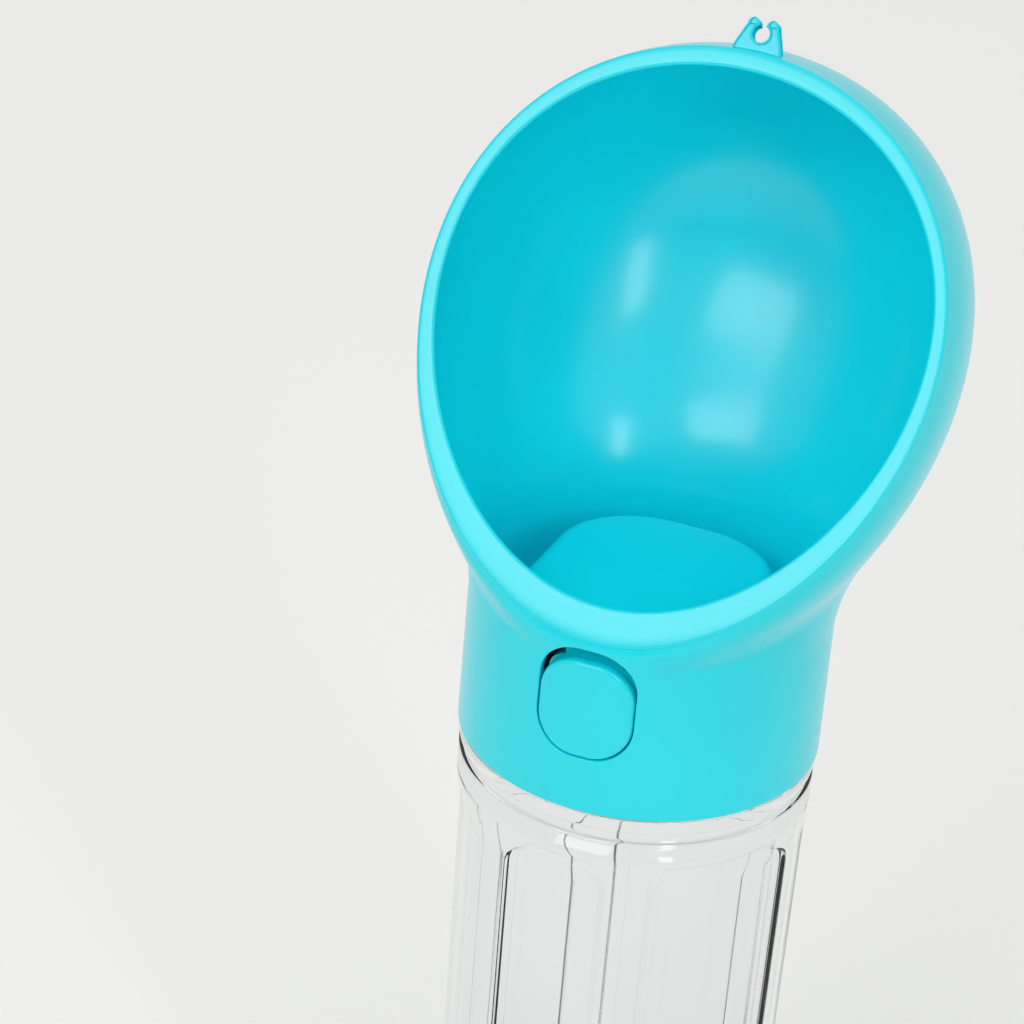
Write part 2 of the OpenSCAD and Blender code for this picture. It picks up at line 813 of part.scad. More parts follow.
module stem_seals() {
    minor = seal_r - slack;
    color(silicone)
        for (y = ring_y)
            along_valve(y)
                ring_seal(bore_r - slack - minor, minor);
}

module valve_seal() {
    color(silicone)
        along_valve(plug_y - washer_t)
            difference() {
                cylinder(r = plug_r, h = washer_t);
                translate([0, 0, -past])
                    cylinder(r = rod_r, h = washer_t + 2 * past);
            }
}

plate_half_w = button_w / 2 - 0.6;
plate_half_h = button_h / 2 - 1.35;
plate_corner = 3;
plate_low = button_z - plate_half_h;
plate_high = button_z + plate_half_h;
tab_top = pocket_top - button_gap;
hook_w = 2.2;
hook_h = 6;
hook_x = plate_half_w - 2.6;
hook_catch = 1.2;
slot_gap = 0.3;        // gap round a hook in its slot

module lock_plate() {
    color(turquoise)
        on_bottle()
            difference() {
                union() {
                    translate([0, plate_back, (plate_low + plate_high) / 2])
                        rotate([90, 0, 0])
                            linear_extrude(plate_t)
                                round_rect(2 * plate_half_w, 2 * plate_half_h, plate_corner);
                    translate([-tab_w / 2, plate_front, plate_high - plate_corner])
                        cube([tab_w, plate_t, tab_top - plate_high + plate_corner]);
                }
                translate([0, plate_front - past, valve_z])
                    rotate([-90, 0, 0])
                        cylinder(r = stub_r, h = plate_t + 2 * past);
                for (s = [-1, 1])
                    translate([s * hook_x - hook_w / 2 - slot_gap, plate_front - past,
                            button_z - hook_h / 2 - slot_gap])
                        cube([hook_w + 2 * slot_gap, plate_t + 2 * past,
                            hook_h + lock_travel + 2 * slot_gap]);
            }
}

module button_cap() {
    face_r = neck_r + button_proud;
    color(turquoise)
        on_bottle() {
            intersection() {
                cylinder(r = face_r, h = button_z + button_h);
                translate([0, plate_front - fit_gap, button_z])
                    rotate([90, 0, 0])
                        linear_extrude(face_r)
                            round_rect(button_w, button_h, button_corner);
            }
            for (s = [-1, 1]) {
                translate([s * hook_x - hook_w / 2, plate_front - past, button_z - hook_h / 2])
                    cube([hook_w, past + plate_t + fit_gap + hook_catch, hook_h]);
                translate([s > 0 ? hook_x : -hook_x - hook_w / 2 - hook_catch, plate_back + fit_gap,
                        button_z - hook_h / 2])
                    cube([hook_w / 2 + hook_catch, hook_catch, hook_h]);
            }
        }
}

bottle();
neck_gasket();
head_shell();
base_plate();
plate_seal();
plate_screws();
valve_body();
inlet_seal();
valve_screws();
outlet_nozzle();
outlet_seal();
return_spring();
plunger();
stem_seals();
valve_seal();
lock_plate();
button_cap();
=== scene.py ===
"""Dresses the travel water bottle: moulded skins, clear bottle, finishes and a plain studio."""
import json
import math

import bpy
import numpy as np
from bpy.props import FloatProperty, FloatVectorProperty, IntProperty, PointerProperty
from mathutils import Euler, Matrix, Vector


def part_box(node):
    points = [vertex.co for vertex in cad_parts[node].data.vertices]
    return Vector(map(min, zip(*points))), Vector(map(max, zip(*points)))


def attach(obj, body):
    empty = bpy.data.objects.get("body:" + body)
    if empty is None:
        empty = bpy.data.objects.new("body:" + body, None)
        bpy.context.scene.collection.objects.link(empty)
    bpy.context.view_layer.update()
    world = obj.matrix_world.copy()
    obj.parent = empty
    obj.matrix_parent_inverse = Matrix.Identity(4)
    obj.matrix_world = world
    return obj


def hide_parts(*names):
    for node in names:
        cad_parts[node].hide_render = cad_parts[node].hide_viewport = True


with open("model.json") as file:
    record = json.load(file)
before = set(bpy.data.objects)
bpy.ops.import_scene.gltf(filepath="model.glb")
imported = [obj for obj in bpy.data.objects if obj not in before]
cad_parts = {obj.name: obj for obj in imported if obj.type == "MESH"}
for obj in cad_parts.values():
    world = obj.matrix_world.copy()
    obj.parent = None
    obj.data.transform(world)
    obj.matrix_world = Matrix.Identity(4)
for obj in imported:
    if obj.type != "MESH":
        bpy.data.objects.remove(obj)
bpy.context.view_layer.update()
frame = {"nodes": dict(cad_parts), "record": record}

bl_info = {
    "name": "Dog travel bottle",
    "version": (1, 0, 0),
    "blender": (4, 5, 0),
    "location": "3D View > Sidebar > Bottle",
    "description": "Builds the bottle's moulded head, button, clear bottle, finishes and studio",
    "category": "Object",
}

TURN = 2 * np.pi
HEAD_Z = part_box("head_shell")[0].z  # height of the head's lower edge on the bottle
BEVEL_START = 0.9  # share of the bowl's sweep after which the rim's rounding begins
PATCH_HALF = 13  # columns left out on each side of the front's middle, round the button's pocket


def length(name, text, default, low=0.0, high=1.0):
    """A size in metres that a user can change."""
    return FloatProperty(name=name, description=text, default=default, min=low, max=high,
                         unit="LENGTH", precision=5)


def share(name, text, default, low=0.0, high=1.0):
    """A plain number between two limits."""
    return FloatProperty(name=name, description=text, default=default, min=low, max=high)


def angle(name, text, degrees):
    """An angle, kept in radians."""
    return FloatProperty(name=name, description=text, default=math.radians(degrees),
                         subtype="ANGLE", unit="ROTATION")


def power(name, text, watts):
    """The power of a lamp."""
    return FloatProperty(name=name, description=text, default=watts, min=0, unit="POWER")


def paleness(name, text, default):
    """The strength of a light that is seen or that lights, where 1 is white."""
    return FloatProperty(name=name, description=text, default=default, min=0)


def colour(name, text, rgb):
    """A surface colour."""
    return FloatVectorProperty(name=name, description=text, default=rgb, size=3, min=0.0, max=1.0,
                               subtype="COLOR")


class HeadSizes(bpy.types.PropertyGroup):
    """Sizes of the moulded head with its bowl."""
    neck_r: length("Neck radius", "Outer radius of the neck", 0.0335)
    wall: length("Wall", "Thickness of the moulding", 0.0023)
    skirt_r: length("Skirt radius", "Inner radius of the skirt over the bottle's thread", 0.0312)
    skirt_round: length("Skirt rounding", "Radius of the skirt's lower edge", 0.0004)
    floor_z: length("Bowl floor", "Height of the bowl's floor over the skirt", 0.0175)
    floor_t: length("Floor thickness", "Thickness of the bowl's floor", 0.002)
    floor_round: length("Floor rounding", "Radius of the corner round the bowl's floor", 0.002)
    bowl_z: length("Bowl start", "Height at which the neck opens into the bowl", 0.0275)
    lean: angle("Mouth lean", "Lean of the mouth back from upright", 33.4)
    half_w: length("Mouth half width", "Half of the mouth's width", 0.0474)
    half_l: length("Mouth half length", "Half of the mouth's length", 0.0542)
    mouth_y: length("Mouth centre depth", "Place of the mouth's centre along Y", -0.003764, -1.0)
    mouth_z: length("Mouth centre height", "Height of the mouth's centre over the skirt", 0.080099)
    egg: share("Egg shape", "How much wider the mouth is towards its brow", 0.09)
    rim_side: length("Rim at the sides", "Width of the rim at the sides", 0.0028)
    rim_brow: length("Rim at the brow", "Width of the rim at the brow", 0.0037)
    rim_lip: length("Rim at the lip", "Width of the rim at the lip", 0.0069)
    rim_round: length("Rim rounding", "Radius of the rim's edges", 0.0006)
    side_start: share("Side start", "Where the sides leave the neck", 0.34)
    side_peak: share("Side bulge", "Where the sides bulge most", 0.78)
    side_soft: share("Side softness", "Softness of the turn at the sides", 0.28)
    back_start: share("Back start", "Where the back leaves the neck", 0.27)
    back_peak: share("Back bulge", "Where the back bulges most", 0.47)
    back_soft: share("Back softness", "Softness of the turn at the back", 0.17)
    back_fall: length("Back fall", "How far the back's bulge lies under the brow's line", 0.0135)
    boss_w: length("Boss half width", "Half of the boss's width", 0.0205)
    boss_back: length("Boss back", "Distance of the boss's back from the axis", 0.022)
    boss_corner: length("Boss corners", "Corner radius of the boss's back", 0.017)
    boss_top: length("Boss top", "Height of the boss's top at the front wall", 0.036)
    boss_slope: angle("Boss slope", "Slope of the boss's top down to the back", 4.2)
    boss_round: length("Boss rounding", "Radius of the boss's top edge", 0.0026)
    boss_fillet: length("Boss fillet", "Radius of the fillet round the boss's foot", 0.0012)
    lug_foot: length("Lug foot", "Half width of the lanyard lug at its foot", 0.0045)
    lug_top: length("Lug top", "Half width of the lanyard lug at its top", 0.0029)
    lug_h: length("Lug height", "Height of the lug over the shell", 0.0055)
    lug_t: length("Lug thickness", "Thickness of the lug", 0.003)
    lug_hole: length("Lanyard hole", "Radius of the lanyard hole", 0.00155)
    lug_slot: length("Lanyard slot", "Half width of the slot into the hole", 0.00065)
    lug_round: length("Lug rounding", "Radius of the lug's edges", 0.00045)
    columns: IntProperty(name="Columns", description="Points round a section", default=192,
                         min=96, max=384)


class ButtonSizes(bpy.types.PropertyGroup):
    """Sizes of the push button and of its pocket in the neck."""
    width: length("Width", "Width of the button", 0.0178)
    height: length("Height", "Height of the button", 0.0193)
    corner: length("Corners", "Corner radius of the button", 0.0074)
    gap: length("Gap", "Gap round the button", 0.0003)
    lock: length("Lock travel", "Room over the button for its lock", 0.0023)
    centre_z: length("Centre", "Height of the button's centre over the skirt", 0.0209)
    proud: length("Stand-out", "How far the button stands out of the neck", 0.0003)
    edge: length("Edge rounding", "Radius of the button's front edge", 0.0009)
    back_y: length("Back", "Place of the button's back along Y", -0.03005, -1.0)
    top_t: length("Top thickness", "Thickness of the button along its top edge", 0.0016)
    lip: length("Pocket rounding", "Radius of the pocket's edge", 0.00025)
    patch_z: length("Patch foot", "Height at which the wall round the pocket begins", 0.0075)
    hook_x: length("Hook place", "Distance of a hook's bar from the button's middle", 0.0057)
    hook_w: length("Hook width", "Half of the width of a hook's bar", 0.0011)
    hook_h: length("Hook height", "Half of the height of a hook", 0.003)
    hook_y: length("Hook end", "Place of the hooks' ends along Y", -0.02635, -1.0)
    hook_t: length("Hook thickness", "Thickness of a hook's head", 0.0012)
    hook_reach: length("Hook reach", "Reach of a hook's head from its bar's middle", 0.0023)
    hook_root: length("Hook root", "Depth of a hook's foot in the button", 0.0005)


class BottleSizes(bpy.types.PropertyGroup):
    """Sizes of the clear bottle."""
    ring_r: length("Shoulder radius", "Radius of the shoulder ring", 0.033)
    wall: length("Wall", "Thickness of the bottle's wall", 0.0023)
    draft: angle("Draft", "Draft of the body on each side", 0.75)
    ring_h: length("Ring height", "Height of the shoulder ring", 0.0032)
    groove_h: length("Groove height", "Height of the groove under the ring", 0.0022)
    groove_d: length("Groove depth", "Depth of the groove", 0.0009)
    base_round: length("Base rounding", "Radius of the base's edge", 0.004)
    base_dish: length("Base dish", "Height of the dish under the base", 0.0024)
    foot_flat: length("Foot flat", "Width of the flat that the bottle stands on", 0.003)
    foot_slope: length("Foot slope", "Width of the slope from the dish to the flat", 0.003)
    edge: length("Edge rounding", "Radius of the ring's and the finish's edges", 0.00035)
    shoulder: length("Inner shoulder", "Height over which the inside widens", 0.006)
    finish_r: length("Finish radius", "Radius of the finish between its thread's ridges", 0.03)
    finish_h: length("Finish height", "Height of the threaded finish", 0.007)
    pitch: length("Thread pitch", "Rise of the thread in one turn", 0.004)
    thread: length("Thread height", "Height of the thread's ridge", 0.0009)
    ridge_root: length("Ridge root", "Width of the thread's ridge at its root", 0.0019)
    ridge_tip: length("Ridge tip", "Width of the thread's ridge at its tip", 0.001)
    thread_start: length("Thread start", "Height of the thread's start over the ring", 0.0013)
    ridge_round: length("Ridge rounding", "Radius of the ridge's shoulders", 0.00022)
    finish_turns: share("Turns on the finish", "Turns of the ridge on the finish", 1.1, 0.5, 1.4)
    head_turns: share("Turns in the head", "Turns of the ridge in the head", 0.8, 0.5, 1.1)
    panel_low: length("Panel foot", "Height of the panels' lower edge", 0.014)
    panel_drop: length("Panel drop", "Distance from the head down to the panels", 0.0124)
    panel_depth: length("Panel depth", "Depth of the panels", 0.0009)
    panel_edge: length("Panel edge", "Width of the slope round a panel", 0.0006)
    panel_corner: length("Panel corners", "Corner radius of a panel", 0.005)
    narrow: angle("Narrow panel", "Angle that a narrow panel spans", 35)
    wide: angle("Wide panel", "Angle that a wide panel spans", 53.6)
    turn: angle("Turn", "Turn of the bottle when the head is tight", -6.4)


class Finishes(bpy.types.PropertyGroup):
    """Colours of the plastics, the rubber and the steel."""
    turquoise: colour("Turquoise", "Colour of the head and the button", (0.003, 0.82, 0.94))
    clear: colour("Clear", "Tint of the clear bottle", (0.945, 0.957, 0.959))
    milk: colour("Milk", "Colour of the valve's plastic", (0.72, 0.74, 0.73))
    silicone: colour("Silicone", "Colour of the seals", (0.6, 0.63, 0.63))
    steel: colour("Steel", "Colour of the screws and the spring", (0.55, 0.56, 0.57))
    floor: colour("Floor", "Colour of the studio's floor", (0.93, 0.925, 0.905))


class Studio(bpy.types.PropertyGroup):
    """Camera and lights."""
    camera_place: FloatVectorProperty(
        name="Camera place", description="Place of the camera",
        default=(0.2115, -0.6791, 0.5807), subtype="TRANSLATION", unit="LENGTH")
    camera_turn: FloatVectorProperty(
        name="Camera turn", description="Turn of the camera",
        default=tuple(math.radians(a) for a in (61.004, -4.28, 21.816)),
        subtype="EULER", unit="ROTATION")
    lens: FloatProperty(
        name="Lens", description="Focal length on a 36 mm wide frame", default=158.2,
        min=10, max=400, unit="CAMERA")
    key_power: power("Key light", "Power of the front soft box", 4.6)
    fill_power: power("Strip light", "Power of the strip in front on the right", 1.9)
    sky_top: paleness("Sky overhead", "Strength of the sky's light overhead", 0.73)
    sky_front: paleness("Sky in front", "Strength of the sky's light low in front", 0.2)
    sky_back: paleness("Sky behind", "Strength of the sky's light low behind", 0.35)
    floor_glow: paleness("Floor's paleness", "Light seen on top of the lit floor", 0.13)
    horizon: paleness("Horizon", "Paleness of the sky seen just over the floor", 0.74)
    floor_half: FloatProperty(
        name="Floor", description="Half of the floor's width", default=35, min=1, unit="LENGTH")


# ---- meshes from arrays ----

def quads_of(rows, cols, start=0, closed=True, flip=False):
    """Quads of a grid of rows x cols points: each joins a point to its right, upper right and
    upper neighbours; a closed grid joins its last column to its first."""
    j, i = np.meshgrid(np.arange(rows - 1), np.arange(cols if closed else cols - 1), indexing="ij")
    k = (i + 1) % cols
    corners = [j * cols + i, j * cols + k, (j + 1) * cols + k, (j + 1) * cols + i]
    q = np.stack(corners, -1).reshape(-1, 4)
    return (q[:, ::-1] if flip else q) + start


class Skin:
    """Collects grids of points and their faces for one mesh."""

    def __init__(self):
        self.points, self.faces, self.count = [], [], 0

    def grid(self, points, closed=True, flip=False, keep=None):
        """Adds rows x cols points as quads; keep is a true/false array of the quads that stay."""
        rows, cols = points.shape[:2]
        q = quads_of(rows, cols, self.count, closed, flip)
        self.faces.append(q if keep is None else q[keep.ravel()])
        self.points.append(points.reshape(-1, 3))
        start = self.count
        self.count += rows * cols
        return start

    def fan(self, ring_start, cols, centre, flip=False):
        """Closes a ring of points with triangles to a centre point."""
        i = np.arange(cols)
        tri = np.stack([ring_start + i, ring_start + (i + 1) % cols, np.full(cols, self.count)], -1)
        self.faces.append(tri[:, ::-1] if flip else tri)
        self.points.append(np.array([centre], float))
        self.count += 1

    def mesh(self, name):
        """The collected grids as one mesh with smooth faces."""
        me = bpy.data.meshes.new(name)
        faces = [f for part in self.faces for f in part.tolist()]
        me.from_pydata(np.concatenate(self.points).tolist(), [], faces)
        me.polygons.foreach_set("use_smooth", np.ones(len(me.polygons), bool))
        me.validate()
        return me


def place(name, skin, body, slot, node, crease):
    """Puts a skin into the scene on its body, in its slot's finish, in place of its CAD node.
    Edges that turn by more than crease stay sharp."""
    me = skin.mesh(name)
    me.materials.append(finish_for(slot))
    piece = bpy.data.objects.new(name, me)
    bpy.context.scene.collection.objects.link(piece)
    me.set_sharp_from_angle(angle=crease)
    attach(piece, body)
    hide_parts(node)


def arc(steps):
    """Angles of a quarter turn in even steps."""
    return np.linspace(0, 1, steps) * np.pi / 2


def smooth(u):
    """From 0 to 1 with level ends: 3 u^2 - 2 u^3."""
    return u * u * (3 - 2 * u)


def xyz(x, y, z):
    """Points from three arrays that broadcast."""
    return np.stack(np.broadcast_arrays(x, y, z), -1)


# ---- the head's form ----

class HeadForm:
    """The bowl as a fan of sections that turns about a line in front of the lip, from the neck's
    circle at share 0 to the mouth's egg at share 1. A section's front and back lie on the fan's
    planes. Its half width times the cosine gives X, and the distance from the fan's line gives Y
    and Z."""

    def __init__(self, h):
        self.h = h
        self.R = h.neck_r
        self.fan = math.pi / 2 - h.lean
        centre = np.array([h.mouth_y, h.mouth_z])
        along = h.half_l * np.array([math.sin(h.lean), math.cos(h.lean)])
        self.lip = centre - along
        pivot_y = self.lip[0] - (self.lip[1] - h.bowl_z) / math.tan(self.fan)
        self.pivot = np.array([pivot_y, h.bowl_z])
        self.reach = np.linalg.norm(centre + along - self.pivot)

    @staticmethod
    def rise(q, start, peak, soft):
        """From 0 to 1 over the sweep: flat up to start, softly turned, then a parabola whose top
        is at peak."""
        def swell(v):
            s = (v - start) / (1 - start)
            return 1 - (1 - (s + np.sqrt(s * s + soft * soft)) / 2 / peak) ** 2
        return (swell(q) - swell(0.0)) / (swell(1.0) - swell(0.0))

    def section(self, q, t, inset=(0.0, 0.0, 0.0), push=0.0):
        """Point at share q of the sweep and angle t round the section: X is the half width times
        cos t, and Y and Z lie between front and back by sin t on the plane at the share's angle.
        inset takes off the wall at front, sides and back; push moves the point off the plane."""
        h, p = self.h, self.fan * q
        front = (-self.R + (self.lip[0] + self.R) * q * q - self.pivot[0]) / np.cos(p) + inset[0]
        wall = (self.R - self.pivot[0]) / np.cos(p)
        end_wall = (self.R - self.pivot[0]) / math.cos(self.fan)
        bulge = h.back_fall * self.rise(q, h.back_start, h.back_peak, h.back_soft)
        back = wall + (self.reach - end_wall + h.back_fall) * q ** 3 - bulge - inset[2]
        side = self.rise(q, h.side_start, h.side_peak, h.side_soft)
        half = self.R + (h.half_w - self.R) * side - inset[1]
        s = (front + back) / 2 + (back - front) / 2 * np.sin(t)
        x = half * np.cos(t) * (1 + h.egg * q * np.sin(t))
        y = self.pivot[0] + s * np.cos(p) - push * np.sin(p)
        z = self.pivot[1] + s * np.sin(p) + push * np.cos(p)
        return xyz(x, y, z)

    @staticmethod
    def bevel(q):
        """How far the rim's rounding has come at share q, from 0 to 1."""
        return np.clip((q - BEVEL_START) / (1 - BEVEL_START), 0, 1)

    def outside(self, v, t):
        """The head's outside: the neck's cylinder for v from 0 to 1, and the bowl for v from 1 to
        2, which draws back from the rim by its rounding at its end."""
        v, t = np.broadcast_arrays(np.asarray(v, float), np.asarray(t, float))
        q = np.clip(v - 1, 0, 1)
        bowl = self.section(q, t, push=-self.h.rim_round * self.bevel(q))
        neck = xyz(self.R * np.cos(t), self.R * np.sin(t), self.h.bowl_z * np.clip(v, 0, 1))
        return np.where((v < 1)[..., None], neck, bowl)

    def wall_at(self, q):
        """The wall's thickness at front, sides and back: it grows to the rim's widths with the
        fifth power of the share."""
        h, g = self.h, q ** 5
        return [h.wall + (w - h.wall) * g for w in (h.rim_lip, h.rim_side, h.rim_brow)]

    def find(self, x, z, steps=30, tiny=1e-5, most=0.1):
        """The outside's v and t at points of the front wall with this X and Z, by Newton's steps
        with slopes taken over a tiny move, none longer than most."""
        over = (z - self.h.bowl_z) / (self.lip[1] - self.h.bowl_z)
        v = np.where(z < self.h.bowl_z, z / self.h.bowl_z, 1 + over * 0.8)  # a first guess
        t = -np.pi / 2 + np.arcsin(np.clip(x / self.R, -1, 1))
        for _ in range(steps):
            p, pv, pt = self.outside(v, t), self.outside(v + tiny, t), self.outside(v, t + tiny)
            a, b = (pv[:, 0] - p[:, 0]) / tiny, (pt[:, 0] - p[:, 0]) / tiny
            c, d = (pv[:, 2] - p[:, 2]) / tiny, (pt[:, 2] - p[:, 2]) / tiny
            fx, fz, det = x - p[:, 0], z - p[:, 2], a * d - b * c
            v = np.clip(v + np.clip((d * fx - b * fz) / det, -most, most), 0.02, 1.98)
            t = t + np.clip((a * fz - c * fx) / det, -most, most)
        return v, t


def round_rect(w, h, r, corner=14, side=8):
    """A rectangle's outline with round corners, anticlockwise from its right side: each corner is
    a quarter circle about a point r in from both sides, and each side gets more points."""
    parts = []
    for k, (sx, sy) in enumerate([(1, 1), (-1, 1), (-1, -1), (1, -1)]):
        a = np.linspace(k * np.pi / 2, (k + 1) * np.pi / 2, corner)
        x, y = sx * (w / 2 - r) + r * np.cos(a), sy * (h / 2 - r) + r * np.sin(a)
        parts.append(np.stack([x, y], -1))
    loop = np.concatenate(parts)
    nxt = np.roll(loop, -1, 0)
    gap = np.linalg.norm(nxt - loop, axis=1)
    return np.concatenate([
        np.linspace(a, b, side, endpoint=False) if far else a[None]
        for a, b, far in zip(loop, nxt, gap > 3 * np.median(gap))])


def at_angles(loop, angles):
    """The points of a star-shaped outline about the origin that lie at these angles."""
    a = np.arctan2(loop[:, 1], loop[:, 0])
    order = np.argsort(a)
    a, r = a[order], np.linalg.norm(loop, axis=1)[order]
    a = np.concatenate([a[-1:] - TURN, a, a[:1] + TURN])
    r = np.concatenate([r[-1:], r, r[:1]])
    rr = 1 / np.interp((angles + np.pi) % TURN - np.pi, a, 1 / r)
    return np.stack([rr * np.cos(angles), rr * np.sin(angles)], -1)


def behind_button(rings, front=0.0318):
    """True for the quads between two rings that lie behind the button's pocket, in the room where
    the lock plate slides, and nearer to the axis than front."""
    half_w, back, top = 0.0102, 0.025, 0.0345
    mid = (rings[:-1] + np.roll(rings[1:], -1, 1)) / 2
    x, y, z = np.moveaxis(mid, -1, 0)
    return (np.abs(x) < half_w) & (y < -back) & (y > -front) & (z < top)


def add_shell(skin, form, b):
    """The head's closed wall as rings: up inside the skirt, over its edge, up the outside, round
    the rim, down the bowl's inside and across its floor. A corner of radius g runs by
    g (1 - cos a) and g (1 - sin a). The front patch is left out round the pocket."""
    h, n = form.h, form.h.columns
    t = -np.pi / 2 + TURN * np.arange(n)[None, :] / n
    e = h.skirt_round

    def turned(r, z):
        """Rings of the radii and heights given."""
        r, z = np.array(r)[:, None], np.array(z)[:, None]
        return xyz(r * np.cos(t), r * np.sin(t), z)

    low = turned([h.skirt_r, h.skirt_r, h.skirt_r + e / 2, h.neck_r - e],
                 [h.floor_z - h.floor_t, e / 2, 0, 0])
    edge = arc(5)[1:-1]
    low_edge = turned(h.neck_r - e * (1 - np.sin(edge)), e * (1 - np.cos(edge)))
    v = np.concatenate([
        np.linspace(e, h.bowl_z, 28)[:-1] / h.bowl_z,
        np.linspace(1, 1 + BEVEL_START, 56),
        np.linspace(1 + BEVEL_START, 2, 6)[1:]])
    out = form.outside(v[:, None], t)
    g = h.rim_round
    full = form.wall_at(1.0)
    turn_out = [form.section(1.0, t, [g * (1 - math.cos(a))] * 3, -g * (1 - math.sin(a)))
                for a in arc(6)[1:]]
    land = [form.section(1.0, t, [g + (w - 2 * g) * u for w in full]) for u in (0.33, 0.67)]
    turn_in = [form.section(1.0, t, [w - g * (1 - math.sin(a)) for w in full],
                            -g * (1 - math.cos(a))) for a in arc(6)]
    q = np.concatenate([np.linspace(1, BEVEL_START, 6)[1:], np.linspace(BEVEL_START, 0, 56)[1:]])
    q = q[:, None]
    back = form.section(q, t, form.wall_at(q), -g * form.bevel(q))
    f, bowl_r, a = h.floor_round, h.neck_r - h.wall, arc(7)
    across = bowl_r * np.array([0.75, 0.5, 0.25])
    floor = turned(
        np.concatenate([[bowl_r], bowl_r - f * (1 - np.cos(a)), across]),
        np.concatenate([[(h.bowl_z + h.floor_z) / 2], h.floor_z + f * (1 - np.sin(a)),
                        np.full(len(across), h.floor_z)]))
    blocks = [low, low_edge, out, *turn_out, *land, *turn_in, back, floor]
    rings = np.concatenate([x.reshape(-1, n, 3) for x in blocks])
    first = len(low) + len(low_edge)
    r0 = first + int(np.searchsorted(v, b.patch_z / h.bowl_z))
    r1 = first + int(np.argmin(np.abs(v - 1 - BEVEL_START)))
    keep = np.ones((len(rings) - 1, n), bool)
    keep[r0:r1, np.arange(-PATCH_HALF, PATCH_HALF) % n] = False
    keep[r1:] &= ~behind_button(rings)[r1:]
    start = skin.grid(rings, keep=keep)
    skin.fan(start + (len(rings) - 1) * n, n, (0, 0, h.floor_z))
    add_pocket(skin, form, b, start, r0, r1, v, first)


def add_pocket(skin, form, b, start, r0, r1, v, first):
    """The front wall round the button's pocket: rings that run from the border of the patch
    between rings r0 and r1 to the pocket's outline, in the outside's own two parameters, then
    round the pocket's edge by its radius and through the wall."""
    n, m = form.h.columns, PATCH_HALF
    cols, rows = np.arange(-m, m + 1), np.arange(r0, r1 + 1)
    border = np.concatenate([
        np.stack([np.full(2 * m, r0), cols[:-1]], -1),
        np.stack([rows[:-1], np.full(len(rows) - 1, m)], -1),
        np.stack([np.full(2 * m, r1), cols[::-1][:-1]], -1),
        np.stack([rows[::-1][:-1], np.full(len(rows) - 1, -m)], -1)])
    index = start + border[:, 0] * n + border[:, 1] % n
    bv, bt = v[border[:, 0] - first], -np.pi / 2 + TURN * border[:, 1] / n
    pts = form.outside(bv, bt)
    centre = b.centre_z + b.lock / 2
    w, hh, r = b.width + 2 * b.gap, b.height + b.lock + 2 * b.gap, b.corner + b.gap
    angles = np.arctan2(pts[:, 2] - centre, pts[:, 0])
    count = len(border)
    layers = []
    for k, a in enumerate(arc(5)):
        grow = b.lip * (1 - math.sin(a))
        o = at_angles(round_rect(w + 2 * grow, hh + 2 * grow, r + grow), angles)
        ov, ot = form.find(o[:, 0], o[:, 1] + centre)
        if k == 0:
            layers += [form.outside(bv + (ov - bv) * u, bt + (ot - bt) * u)
                       for u in (0.2, 0.4, 0.6, 0.8)]
        p = form.outside(ov, ot)
        p[:, 0], p[:, 2] = o[:, 0], o[:, 1] + centre
        p[:, 1] += b.lip * (1 - math.cos(a))
        layers.append(p)
    inner = layers[-1].copy()
    inner[:, 1] = -np.sqrt((form.R - form.h.wall) ** 2 - inner[:, 0] ** 2)
    layers += [(layers[-1] + inner) / 2, inner]
    ring0 = skin.grid(np.array(layers))
    i, k = np.arange(count), (np.arange(count) + 1) % count
    skin.faces.append(np.stack([index[i], index[k], ring0 + k, ring0 + i], -1))


def boss_outline(h, inset, front_r):
    """The boss from above, anticlockwise from its right front corner: a straight side, a quarter
    circle, the back, a quarter circle, the other side, and the neck's own curve across the
    front. inset draws it in."""
    w, r, back = h.boss_w - inset, h.boss_corner - inset, h.boss_back - inset
    y0 = -math.sqrt(front_r ** 2 - w ** 2)
    side = np.linspace(0, 1, 16, endpoint=False)
    a = np.linspace(0, np.pi / 2, 24, endpoint=False)
    around = math.asin(w / front_r) * np.linspace(-1, 1, 32, endpoint=False)
    flat = np.linspace(w - r, r - w, 8, endpoint=False)
    right, left, behind = np.full(len(side), w), np.full(len(side), -w), np.full(len(flat), back)
    x = [right, w - r + r * np.cos(a), flat, r - w - r * np.sin(a), left,
         front_r * np.sin(around)]
    y = [y0 + (back - r - y0) * side, back - r + r * np.sin(a), behind,
         back - r + r * np.cos(a), back - r + (y0 - back + r) * side, -front_r * np.cos(around)]
    return np.stack([np.concatenate(x), np.concatenate(y)], -1)


